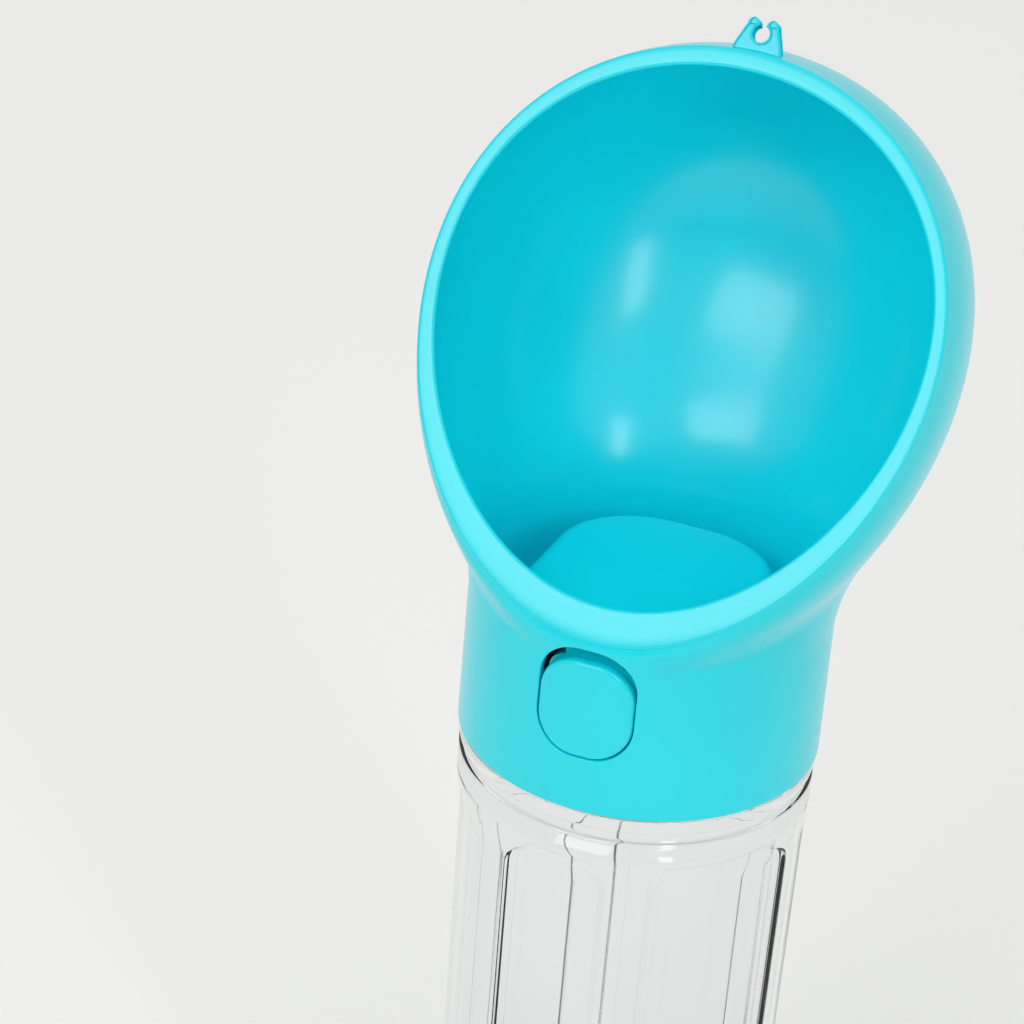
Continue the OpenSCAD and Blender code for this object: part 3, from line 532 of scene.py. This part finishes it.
def add_boss(skin, form):
    """The boss over the valve: its outline raised from a small fillet on the floor to a sloping
    top with a round edge, and the hollow under it, which is the same form set in by the wall. A
    corner of radius g runs by g (1 - cos a) and g (1 - sin a)."""
    h = form.h
    wall_middle, wall_inside = form.R - h.wall / 2, form.R - h.wall - 0.0001
    sink = 0.00005  # depth of the fillet's foot in the floor
    crown_y = -0.004  # place of the top's middle along Y

    def top_at(y, drop=0.0):
        """Height of the sloping top."""
        return h.boss_top - drop - (y + form.R) * math.tan(h.boss_slope)

    def ring(inset, front_r, z):
        """The outline set in, at a height."""
        o = boss_outline(h, inset, front_r)
        return xyz(o[:, 0], o[:, 1], z)

    def top_rings(inset, front_r, g, steps):
        """The top's round edge, for the outside or the hollow."""
        rings = []
        for a in arc(steps):
            p = ring(inset + g * (1 - math.cos(a)), front_r, 0.0)
            p[:, 2] = top_at(p[:, 1], inset) - g * (1 - math.sin(a))
            rings.append(p)
        return rings

    def inwards(last, share, drop=0.0):
        """The last ring drawn in to the top's middle, on the slope."""
        p = last * share + np.array([0.0, crown_y, 0.0]) * (1 - share)
        p[:, 2] = top_at(p[:, 1], drop)
        return p

    f = h.boss_fillet
    rings = [ring(-f * (1 - math.sin(a)), wall_middle, h.floor_z - sink + f * (1 - math.cos(a)))
             for a in arc(6)]
    rings += top_rings(0.0, wall_middle, h.boss_round, 9)
    rings += [inwards(rings[-1], share) for share in (0.8, 0.55, 0.3, 0.1)]
    rings = np.array(rings)
    start = skin.grid(rings, keep=~behind_button(rings, 0.033))
    cols = rings.shape[1]
    skin.fan(start + (len(rings) - 1) * cols, cols, (0, crown_y, top_at(crown_y)))

    under = h.floor_z - h.floor_t
    rim = ring(h.wall, wall_inside, under)
    wide = h.skirt_r / np.linalg.norm(rim[:, :2], axis=1)
    hollow = [xyz(rim[:, 0] * wide, rim[:, 1] * wide, under), rim]
    hollow += top_rings(h.wall, wall_inside, h.boss_round - h.wall / 2, 6)
    hollow.append(inwards(hollow[-1], 0.5, h.wall))
    hollow = np.array(hollow)
    start = skin.grid(hollow, flip=True, keep=~behind_button(hollow))
    middle = (0, crown_y, top_at(crown_y, h.wall))
    skin.fan(start + (len(hollow) - 1) * cols, cols, middle, flip=True)


def add_lug(skin, form):
    """The lanyard lug: a plate with a keyhole, as bars that run from the left horn's tip round the
    hole to the right horn's tip. Each bar spans from the keyhole's edge to the plate's edge, with
    corners that run by e (1 - cos a) and e (1 - sin a)."""
    h = form.h
    middle, r, slot = h.lug_h / 2, h.lug_hole, h.lug_slot
    horn = (h.lug_top - slot) / 2
    tip = h.lug_h - horn
    bury = 0.002  # depth of the plate's foot in the shell
    proud = 0.0009  # height of the foot over the mouth's own edge
    behind = 0.002  # distance of the plate's face behind the mouth's plane
    a = arc(6)[::-1]
    tip_in = np.stack([-slot - horn + horn * np.cos(a), tip + horn * np.sin(a)], -1)
    tip_out = np.stack([-slot - horn - horn * np.cos(a), tip + horn * np.sin(a)], -1)
    neck_y = middle + math.sqrt(r * r - slot * slot)
    y = np.linspace(tip, neck_y, 5)[1:-1]
    half = h.lug_top + (h.lug_foot - h.lug_top) * np.clip((tip - y) / tip, 0, 1)
    straight_in = np.stack([np.full(len(y), -slot), y], -1)
    straight_out = np.stack([-half, y], -1)
    a0 = math.atan2(neck_y - middle, -slot)
    ang = np.linspace(a0, 3 * np.pi - a0, 36)
    hole = np.stack([r * np.cos(ang), middle + r * np.sin(ang)], -1)
    side = np.array([[h.lug_top, tip], [h.lug_foot, 0], [h.lug_foot, -bury]])
    body = np.concatenate([side, (side * [-1, 1])[::-1]])
    fine = np.concatenate([np.linspace(p, q, 20, endpoint=False)
                           for p, q in zip(body, np.roll(body, -1, 0))])
    plate = at_angles(fine - [0, middle], ang) + [0, middle]
    left_in = np.concatenate([tip_in, straight_in])
    left_out = np.concatenate([tip_out, straight_out])
    inner = np.concatenate([left_in, hole, (left_in * [-1, 1])[::-1]])
    outer = np.concatenate([left_out, plate, (left_out * [-1, 1])[::-1]])
    span = np.linalg.norm(outer - inner, axis=1)[:, None]
    e = h.lug_round
    k = np.clip(span / 2 / e, 0, 1) * e / np.maximum(span, 1e-9)
    c, u = 1 - np.cos(arc(4)), 1 - np.sin(arc(4))
    along = np.concatenate([k * u, 1 - k * u[::-1], 1 - k * u, k * u[::-1]], 1)
    deep = np.concatenate([e * c, e * c[::-1], h.lug_t - e * c, h.lug_t - e * c[::-1]])
    flat = inner[:, None, :] + (outer - inner)[:, None, :] * along[..., None]
    depth = np.broadcast_to(deep, along.shape)[..., None]
    up = np.array([0, math.cos(form.fan), math.sin(form.fan)])
    out = np.array([0, -math.sin(form.fan), math.cos(form.fan)])
    base = np.array([0, h.mouth_y, h.mouth_z]) - out * (behind + h.lug_t)
    x, rise = flat[..., :1], flat[..., 1:] + h.half_l + proud
    skin.grid(base + x * np.array([1, 0, 0]) + rise * up + depth * out, flip=True)


def raised(skin):
    """Moves a skin from the head's own height to its place on the bottle."""
    skin.points = [p + np.array([0, 0, HEAD_Z]) for p in skin.points]
    return skin


# ---- the button ----

def add_button(skin, neck_r, b):
    """The button: rounded outlines set in by the edge's rounding, each on the face's cylinder
    y = -sqrt(r^2 - x^2), then its side wall and its back. Its back steps forward along the top
    edge, which leaves that edge thin."""
    r = neck_r + b.proud
    g = b.edge
    side = g * 1.2  # depth at which the side wall ends at the front
    step_up, step_wide = 0.28 * b.height, 0.0004  # the back's step over the centre, and its width

    def back_ring(scale, thin=True):
        """The outline drawn in about its centre by a factor, on the button's back."""
        p = round_rect(b.width, b.height, b.corner) * scale
        front = -np.sqrt(r * r - p[:, 0] ** 2)
        step = np.clip((p[:, 1] / scale - step_up) / step_wide, 0, 1) * thin
        return xyz(p[:, 0], b.back_y + (front + b.top_t - b.back_y) * step, p[:, 1] + b.centre_z)

    def ring(inset, depth=0.0):
        """The outline set in, on the face's cylinder or behind it by a depth."""
        p = round_rect(b.width - 2 * inset, b.height - 2 * inset, max(b.corner - inset, 0.0005))
        return xyz(p[:, 0], -np.sqrt(r * r - p[:, 0] ** 2) + depth, p[:, 1] + b.centre_z)

    rings = [back_ring(0.6, False), back_ring(0.64), back_ring(1.0),
             (back_ring(1.0) + ring(0, side)) / 2, ring(0, side)]
    rings += [ring(g * (1 - math.cos(a)), g * (1 - math.sin(a))) for a in arc(8)]
    last = rings[-1]
    centre = np.array([0, 0, b.centre_z])
    for share_in in (0.97, 0.85, 0.65, 0.4, 0.15):
        p = centre + (last - centre) * share_in
        p[:, 1] = -np.sqrt(r * r - p[:, 0] ** 2)
        rings.append(p)
    cols = len(last)
    start = skin.grid(np.array(rings), flip=True)
    skin.fan(start + (len(rings) - 1) * cols, cols, (0, -r, b.centre_z), flip=True)
    skin.fan(start, cols, (0, b.back_y, b.centre_z))


def add_box(skin, low, high):
    """A plain block from its low corner to its high one, as two rings of four points and two
    faces."""
    (x0, y0, z0), (x1, y1, z1) = low, high
    ring = np.array([[x0, y0], [x1, y0], [x1, y1], [x0, y1]])
    start = skin.grid(np.array([xyz(ring[:, 0], ring[:, 1], z) for z in (z0, z1)]))
    skin.faces += [start + np.array([[3, 2, 1, 0]]), start + np.array([[4, 5, 6, 7]])]


def add_hooks(skin, b):
    """The button's two snap hooks: a bar behind each side, with a head that points outwards."""
    low, high = b.centre_z - b.hook_h, b.centre_z + b.hook_h
    for side in (-1, 1):
        x = b.hook_x * side
        add_box(skin, (x - b.hook_w, b.back_y - b.hook_root, low), (x + b.hook_w, b.hook_y, high))
        near, far = sorted((x, x + b.hook_reach * side))
        add_box(skin, (near, b.hook_y - b.hook_t, low), (far, b.hook_y, high))


def add_ridge(skin, s, r, out, turns, begin, z0):
    """A thread's ridge on a wall of radius r: a section with round shoulders, wide at its root and
    narrow at its tip, carried up a spiral about Z, z = z0 + start + pitch u, from an angle. It
    stands out of the wall for out = 1 and into the bore for out = -1, and runs out to nothing
    at both ends over a twelfth of a turn."""
    root = 0.00015  # depth of the ridge's root in the wall
    tuck = 0.6  # share of the shoulder's radius that lies inside the tip's half width
    u = np.linspace(0, turns, int(96 * turns) + 1)[:, None]
    height = s.thread * smooth(np.clip(np.minimum(u, turns - u) * 12, 0, 1))
    a = arc(5)
    g = s.ridge_round
    rise = np.concatenate([[-root], 1 - g / s.thread * (1 - np.sin(a))])
    across = np.concatenate([[s.ridge_root / 2], s.ridge_tip / 2 + g * (np.cos(a) - tuck)])
    rise, across = np.concatenate([rise, rise[::-1]]), np.concatenate([across, -across[::-1]])
    lift = np.where(rise > 0, rise * height, rise)
    turn = begin + TURN * u
    rr = r + out * lift
    z = z0 + s.thread_start + s.pitch * u + across
    skin.grid(xyz(rr * np.cos(turn), rr * np.sin(turn), z), closed=False, flip=out > 0)


# ---- the bottle ----

def panel_spans(s):
    """The middle angle and the half angle of each of the six panels, narrow and wide by turns."""
    return [(math.radians(60) * k + s.turn - math.pi / 2, (s.wide if k % 2 else s.narrow) / 2)
            for k in range(6)]


def bottle_angles(s):
    """Angles of the bottle's columns: one every 2.4 degrees, and finer ones over each panel's
    sides and corners, all on a raster of 0.12 degrees so that none stand too close."""
    raster = math.radians(0.12)
    body_r = s.ring_r - 0.0006  # the drafted body's radius, some way down
    cols = [np.arange(0, TURN, math.radians(2.4))]
    for middle, half in panel_spans(s):
        edge = math.asin(min(math.sin(half) * s.ring_r / body_r, 1))
        for sign in (-1, 1):
            for low, high, count in ((-9.5, 1.4, 20), (-0.75, 0.75, 11)):
                steps = np.linspace(math.radians(low), math.radians(high), count)
                cols.append(middle + sign * (edge + steps))
    th = np.unique(np.round((np.concatenate(cols) % TURN) / raster) * raster)
    return th[th < TURN - math.radians(0.2)][None, :]


def corner(r, z, g, side):
    """A profile's corner at (r, z), rounded: r - g (1 - cos a) and z - side g (1 - sin a)."""
    return [(r - g * (1 - math.cos(a)), z - side * g * (1 - math.sin(a))) for a in arc(5)]


def bottle_outside(s, body_top, panel_low, panel_high):
    """The outside's profile of radii and heights: the dish under the base, the slope to the flat
    that it stands on, the base's round edge, the drafted body r = ring_r - (body_top - z) tan
    draft, the groove, the shoulder ring and the finish."""
    ring_top, top, fine = HEAD_Z - 0.0003, HEAD_Z + s.finish_h, 0.0001
    lean = math.tan(s.draft)
    foot_r = s.ring_r - body_top * lean - s.base_round
    dish_r = foot_r - s.foot_flat - s.foot_slope
    prof = [(r, s.base_dish) for r in (0.006, 0.012, dish_r - 0.0005)]
    prof += [(dish_r + s.foot_slope * u, s.base_dish * (1 - smooth(u)))
             for u in np.linspace(0, 1, 7)]
    prof += [(foot_r + s.base_round * math.sin(a), s.base_round * (1 - math.cos(a)))
             for a in arc(8)]
    z = [np.linspace(s.base_round, body_top - 3 * fine, 26)]
    # closer rows over the panels' corners, and closer still over their edges
    for edge, reach in ((panel_low, (-0.0012, 0.0056)), (panel_high, (-0.0056, 0.0012))):
        z += [edge + np.linspace(*reach, 22), edge + np.linspace(-0.0004, 0.0004, 8)]
    z = np.unique(np.concatenate(z))[1:]
    prof += list(zip(s.ring_r - (body_top - z) * lean, z))
    ring_low, groove_r = body_top + s.groove_h, s.ring_r - s.groove_d
    prof += [(s.ring_r - 0.00003, body_top - fine), (s.ring_r - 2 * fine, body_top + fine)]
    prof += [(s.ring_r - s.groove_d * math.sin(a),
              body_top + fine + s.groove_d / 2 * (1 - math.cos(a))) for a in arc(5)[1:]]
    prof += [(groove_r, ring_low - 3 * fine), (groove_r + 0.8 * fine, ring_low - 0.8 * fine),
             (groove_r + 3 * fine, ring_low)]
    prof += corner(s.ring_r, ring_low, s.edge, -1)[::-1]
    prof += [(s.ring_r, ring_top - 12 * fine)] + corner(s.ring_r, ring_top, s.edge, 1)
    prof += [(s.finish_r + 3 * fine, ring_top), (s.finish_r, ring_top + 3 * fine)]
    prof += [(s.finish_r, z) for z in np.linspace(ring_top + 5 * fine, top - s.edge, 8)]
    return np.array(prof + corner(s.finish_r, top, s.edge, 1)[1:])


def bottle_inside(s, body_top):
    """The inside's profile, from the top down: the finish's bore, a soft widening below it, the
    drafted wall, the round corner and the floor, all in by the wall."""
    w, top = s.wall, HEAD_Z + s.finish_h
    neck_r, body_r = s.finish_r - w, s.ring_r - s.groove_d - w
    low_r = s.ring_r - body_top * math.tan(s.draft) - w
    z1, z2 = body_top - s.shoulder, s.base_dish + w + s.base_round
    prof = [(neck_r, top), (neck_r, body_top + 0.001), (neck_r - 0.0001, body_top)]
    prof += [(neck_r + (body_r - neck_r) * smooth(u), body_top - s.shoulder * u)
             for u in np.linspace(0, 1, 8)[1:]]
    prof += [(body_r + (low_r - body_r) * u, z1 + (z2 - z1) * u)
             for u in np.linspace(0, 1, 24)[1:]]
    prof += [(low_r - s.base_round * (1 - math.cos(a)), z2 - s.base_round * math.sin(a))
             for a in arc(8)[1:]]
    return np.array(prof + [(0.016, s.base_dish + w), (0.006, s.base_dish + w)])


def panel_mask(s, z, th, low, high):
    """How far each point is sunk into a panel, from 0 to 1: a soft step, as wide as the slope,
    over the distance to a rounded rectangle, which is hypot(x+, y+) + min(max(x, y), 0) - r."""
    mask = np.zeros((len(z), th.shape[1]))
    for middle, half in panel_spans(s):
        turn = (th - middle + np.pi) % TURN - np.pi
        x = np.abs(s.ring_r * np.sin(turn)) - (s.ring_r * math.sin(half) - s.panel_corner)
        y = np.abs(z - (low + high) / 2) - ((high - low) / 2 - s.panel_corner)
        outside = np.hypot(np.maximum(x, 0), np.maximum(y, 0))
        dist = outside + np.minimum(np.maximum(x, y), 0) - s.panel_corner
        sunk = smooth(np.clip(0.5 - dist / s.panel_edge, 0, 1))
        mask = np.maximum(mask, np.where(np.abs(turn) < np.pi / 2, sunk, 0))
    return mask


def add_bottle(skin, s):
    """The bottle: its outer and inner profiles turned about the axis, x = r cos th and
    y = r sin th, with six panels sunk into the body, and the thread's ridge on its finish."""
    body_top = HEAD_Z - s.ring_h - s.groove_h
    low, high = s.panel_low, HEAD_Z - s.panel_drop
    th = bottle_angles(s)
    r, z = np.split(bottle_outside(s, body_top, low, high), 2, 1)
    body = (z > s.base_round) & (z < body_top - 0.0006)
    r = r - s.panel_depth * panel_mask(s, z, th, low, high) * body
    r1, z1 = np.split(bottle_inside(s, body_top), 2, 1)
    rings = np.concatenate([xyz(a * np.cos(th), a * np.sin(th), b) for a, b in ((r, z), (r1, z1))])
    n = th.shape[1]
    start = skin.grid(rings)
    skin.fan(start, n, (0, 0, s.base_dish), flip=True)
    add_ridge(skin, s, s.finish_r, 1, s.finish_turns, 0.0, HEAD_Z)
    skin.fan(start + (len(rings) - 1) * n, n, (0, 0, s.base_dish + s.wall))


# ---- finishes ----

class Nodes:
    """Makes and joins the nodes of one material or sky."""
    noise_low, noise_high = 0.35, 0.65  # most of a noise's values lie between these

    def __init__(self, tree):
        self.tree = tree

    def fill(self, node, values):
        """Gives a node its inputs, each a number, a colour or another node's socket."""
        for key, value in values.items():
            if isinstance(value, bpy.types.NodeSocket):
                self.tree.links.new(value, node.inputs[key])
            else:
                node.inputs[key].default_value = value

    def add(self, kind, values, **settings):
        """A new node with its inputs and settings."""
        node = self.tree.nodes.new("ShaderNode" + kind)
        for key, value in settings.items():
            setattr(node, key, value)
        self.fill(node, values)
        return node

    def mottle(self, scale, detail=3.0, seed=0.0):
        """Noise over the object's own coordinates."""
        where = self.add("TexCoord", {}).outputs["Object"]
        values = {"Vector": where, "Scale": scale, "Detail": detail, "W": seed}
        return self.add("TexNoise", values, noise_dimensions="4D").outputs["Fac"]

    def tint(self, noise, low, high):
        """A colour between two others, by the noise."""
        ramp = self.add("ValToRGB", {"Fac": noise})
        first, last = ramp.color_ramp.elements
        first.position, first.color = self.noise_low, (*low, 1)
        last.position, last.color = self.noise_high, (*high, 1)
        return ramp.outputs["Color"]

    def vary(self, noise, low, high):
        """A number between two others, by the noise."""
        return self.fade(noise, self.noise_low, self.noise_high, low, high)

    def fade(self, value, low, high, start, end, kind="LINEAR"):
        """A number that goes from start to end while another goes from low to high."""
        values = {"Value": value, "From Min": low, "From Max": high, "To Min": start, "To Max": end}
        return self.add("MapRange", values, interpolation_type=kind).outputs["Result"]

    def bump(self, noise, distance, strength):
        """Fine relief from the noise."""
        values = {"Height": noise, "Distance": distance, "Strength": strength}
        return self.add("Bump", values).outputs["Normal"]

    def join(self, kind, a, b):
        """Two numbers made one, such as their MAXIMUM."""
        return self.add("Math", {0: a, 1: b}, operation=kind).outputs["Value"]

    def when_seen(self, value):
        """A number for camera, glossy and transmission rays, and 0 for those that light things."""
        ray = self.add("LightPath", {}).outputs
        seen = self.join("MAXIMUM", ray["Is Camera Ray"], ray["Is Glossy Ray"])
        seen = self.join("MAXIMUM", seen, ray["Is Transmission Ray"])
        return self.join("MULTIPLY", seen, value)


def scaled(rgb, k):
    """A colour made darker or lighter."""
    return tuple(min(c * k, 1.0) for c in rgb)


def new_material(name, values):
    """A material. values is called with its nodes and gives its shader's inputs."""
    mat = bpy.data.materials.new(name)
    mat.use_nodes = True
    n = Nodes(mat.node_tree)
    n.fill(mat.node_tree.nodes["Principled BSDF"], values(n))
    return mat


def moulded(name, rgb, rough, coat=0.0, spread=0.03, relief=0.00002):
    """Moulded plastic: faint clouds of colour from the melt's flow, and a fine orange peel."""
    def values(n):
        clouds, peel = n.mottle(28.0, 2.0), n.mottle(900.0, 2.0, 3.0)
        return {
            "Base Color": n.tint(clouds, scaled(rgb, 1 - spread), scaled(rgb, 1 + spread)),
            "Roughness": n.vary(clouds, rough * 0.92, rough * 1.08),
            "Normal": n.bump(peel, relief, 0.35),
            "IOR": 1.5, "Coat Weight": coat, "Coat Roughness": 0.12,
        }
    return new_material(name, values)


def clear_plastic(name, rgb):
    """Clear moulded plastic with faint flow waves."""
    def values(n):
        waves = n.mottle(60.0, 1.0, 5.0)
        return {
            "Base Color": n.tint(waves, scaled(rgb, 0.992), rgb),
            "Roughness": n.vary(waves, 0.01, 0.03),
            "Normal": n.bump(waves, 0.00006, 0.25),
            "Transmission Weight": 1.0, "IOR": 1.5,
        }
    return new_material(name, values)


def drawn_steel(name, rgb):
    """Steel with fine drawing marks."""
    def values(n):
        marks = n.mottle(1600.0, 4.0, 8.0)
        return {
            "Base Color": n.tint(marks, scaled(rgb, 0.85), scaled(rgb, 1.1)),
            "Roughness": n.vary(marks, 0.22, 0.4),
            "Normal": n.bump(marks, 0.00002, 0.3),
            "Metallic": 1.0,
        }
    return new_material(name, values)


def finish_for(slot):
    """The material of a finish slot, made once."""
    name, f = "finish " + slot, bpy.context.scene.bottle_finishes
    make = {
        "turquoise": lambda: moulded(name, tuple(f.turquoise), 0.25, 0.15),
        "clear_plastic": lambda: clear_plastic(name, tuple(f.clear)),
        "milk_plastic": lambda: moulded(name, tuple(f.milk), 0.42, spread=0.02),
        "silicone": lambda: moulded(name, tuple(f.silicone), 0.6, relief=0.00004),
        "steel": lambda: drawn_steel(name, tuple(f.steel)),
    }
    return bpy.data.materials.get(name) or make[slot]()


# ---- operators ----

class BOTTLE_OT_head(bpy.types.Operator):
    """Builds the moulded head with its bowl, boss, button pocket and lanyard lug"""
    bl_idname = "bottle.head"
    bl_label = "Head"

    def execute(self, context):
        form = HeadForm(context.scene.bottle_head)
        skin = Skin()
        add_shell(skin, form, context.scene.bottle_button)
        add_boss(skin, form)
        add_lug(skin, form)
        s = context.scene.bottle_body
        add_ridge(skin, s, form.h.skirt_r, -1, s.head_turns, np.pi, 0.0)
        place("moulded_head", raised(skin), "head", "turquoise", "head_shell", math.radians(50))
        return {"FINISHED"}


class BOTTLE_OT_button(bpy.types.Operator):
    """Builds the push button with its two snap hooks"""
    bl_idname = "bottle.button"
    bl_label = "Button"

    def execute(self, context):
        b = context.scene.bottle_button
        skin = Skin()
        add_button(skin, context.scene.bottle_head.neck_r, b)
        add_hooks(skin, b)
        place("push_button", raised(skin), "button", "turquoise", "button_cap", math.radians(50))
        return {"FINISHED"}


class BOTTLE_OT_bottle(bpy.types.Operator):
    """Builds the clear bottle with its panels and threaded finish"""
    bl_idname = "bottle.bottle"
    bl_label = "Clear bottle"

    def execute(self, context):
        skin = Skin()
        add_bottle(skin, context.scene.bottle_body)
        place("clear_bottle", skin, "bottle", "clear_plastic", "bottle", math.radians(60))
        return {"FINISHED"}


class BOTTLE_OT_inside(bpy.types.Operator):
    """Gives the valve, the seals, the screws and the lock plate their finishes"""
    bl_idname = "bottle.inside"
    bl_label = "Inner parts"

    def execute(self, context):
        slots = {s["node"]: s["material_slot"] for s in frame["record"]["subparts"]}
        for name, node in frame["nodes"].items():
            node.data.materials.clear()
            node.data.materials.append(finish_for(slots[name]))
        return {"FINISHED"}


class BOTTLE_OT_studio(bpy.types.Operator):
    """Sets the pale floor, the soft boxes, the even light and the camera"""
    bl_idname = "bottle.studio"
    bl_label = "Studio"

    def execute(self, context):
        st = context.scene.bottle_studio
        self.floor(context, st)
        self.lamps(context, st)
        self.sky(context, st)
        cam = bpy.data.objects.new("camera", bpy.data.cameras.new("camera"))
        context.scene.collection.objects.link(cam)
        cam.location = st.camera_place
        cam.rotation_euler = Euler(st.camera_turn)
        cam.data.sensor_width = 36
        cam.data.lens = st.lens
        cam.data.clip_start, cam.data.clip_end = 0.01, 100
        context.scene.camera = cam
        context.scene.view_settings.view_transform = "Standard"
        return {"FINISHED"}

    def floor(self, context, st):
        """A floor under the bottle that reaches to the horizon."""
        rgb = tuple(context.scene.bottle_finishes.floor)
        me = bpy.data.meshes.new("floor")
        w = st.floor_half
        me.from_pydata([(-w, -w, 0), (w, -w, 0), (w, w, 0), (-w, w, 0)], [], [(0, 1, 2, 3)])
        me.materials.append(new_material("floor paint", lambda n: {
            "Base Color": n.tint(n.mottle(1.5, 2.0), scaled(rgb, 0.99), rgb),
            "Roughness": 0.9,
            "Emission Color": (1, 1, 0.99, 1),
            "Emission Strength": n.when_seen(st.floor_glow),
        }))
        ob = bpy.data.objects.new("floor", me)
        context.scene.collection.objects.link(ob)

    def lamps(self, context, st):
        """A soft box and a strip in front, both turned to the bottle's head."""
        boxes = [
            ("front box", (-0.3, -1.15, 1.1), (0.85, 0.5), st.key_power),
            ("right strip", (0.85, -0.85, 0.75), (0.2, 0.55), st.fill_power),
        ]
        for name, spot, size, watts in boxes:
            lamp = bpy.data.lights.new(name, "AREA")
            lamp.shape, lamp.size, lamp.size_y = "RECTANGLE", size[0], size[1]
            lamp.energy = watts
            ob = bpy.data.objects.new(name, lamp)
            ob.location = spot
            x, y, z = np.array(spot) - [0.0, 0.0, 0.2]
            ob.rotation_euler = (math.atan2(math.hypot(x, y), z), 0, math.atan2(x, -y))
            context.scene.collection.objects.link(ob)

    def sky(self, context, st):
        """A sky that is bright overhead and dim low in front and behind, but is seen as pale as
        the floor just over the horizon."""
        world = bpy.data.worlds.new("even sky")
        world.use_nodes = True
        n = Nodes(world.node_tree)
        towards = n.add("TexCoord", {}).outputs["Generated"]
        axes = n.add("SeparateXYZ", {"Vector": towards}).outputs  # each runs from -1 to 1
        low = n.fade(axes["Y"], -0.2, 0.5, st.sky_front, st.sky_back, "SMOOTHSTEP")
        light = n.fade(axes["Z"], 0.05, 0.6, low, st.sky_top, "SMOOTHSTEP")
        horizon = n.when_seen(n.fade(axes["Z"], 0.06, 0.15, st.horizon, 0.0, "SMOOTHSTEP"))
        strength = n.join("MAXIMUM", light, horizon)
        n.fill(world.node_tree.nodes["Background"], {"Color": (1, 1, 1, 1), "Strength": strength})
        context.scene.world = world


class BOTTLE_PT_panel(bpy.types.Panel):
    """Lists the pieces in the sidebar"""
    bl_idname = "BOTTLE_PT_panel"
    bl_label = "Dog travel bottle"
    bl_space_type = "VIEW_3D"
    bl_region_type = "UI"
    bl_category = "Bottle"

    def draw(self, context):
        for op in OPERATORS:
            self.layout.operator(op.bl_idname)
        for name in GROUPS:
            group = getattr(context.scene, name)
            box = self.layout.box()
            for key in group.__annotations__:
                box.prop(group, key)


GROUPS = {
    "bottle_head": HeadSizes,
    "bottle_button": ButtonSizes,
    "bottle_body": BottleSizes,
    "bottle_finishes": Finishes,
    "bottle_studio": Studio,
}
OPERATORS = (BOTTLE_OT_head, BOTTLE_OT_button, BOTTLE_OT_bottle, BOTTLE_OT_inside, BOTTLE_OT_studio)
CLASSES = (*GROUPS.values(), *OPERATORS, BOTTLE_PT_panel)


def register():
    for cls in CLASSES:
        bpy.utils.register_class(cls)
    for name, cls in GROUPS.items():
        setattr(bpy.types.Scene, name, PointerProperty(type=cls))


def unregister():
    for name in GROUPS:
        delattr(bpy.types.Scene, name)
    for cls in reversed(CLASSES):
        bpy.utils.unregister_class(cls)


def main():
    """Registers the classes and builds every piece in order."""
    register()
    bpy.ops.bottle.inside()
    bpy.ops.bottle.bottle()
    bpy.ops.bottle.head()
    bpy.ops.bottle.button()
    bpy.ops.bottle.studio()
    bpy.context.view_layer.update()


if __name__ == "__main__":
    main()
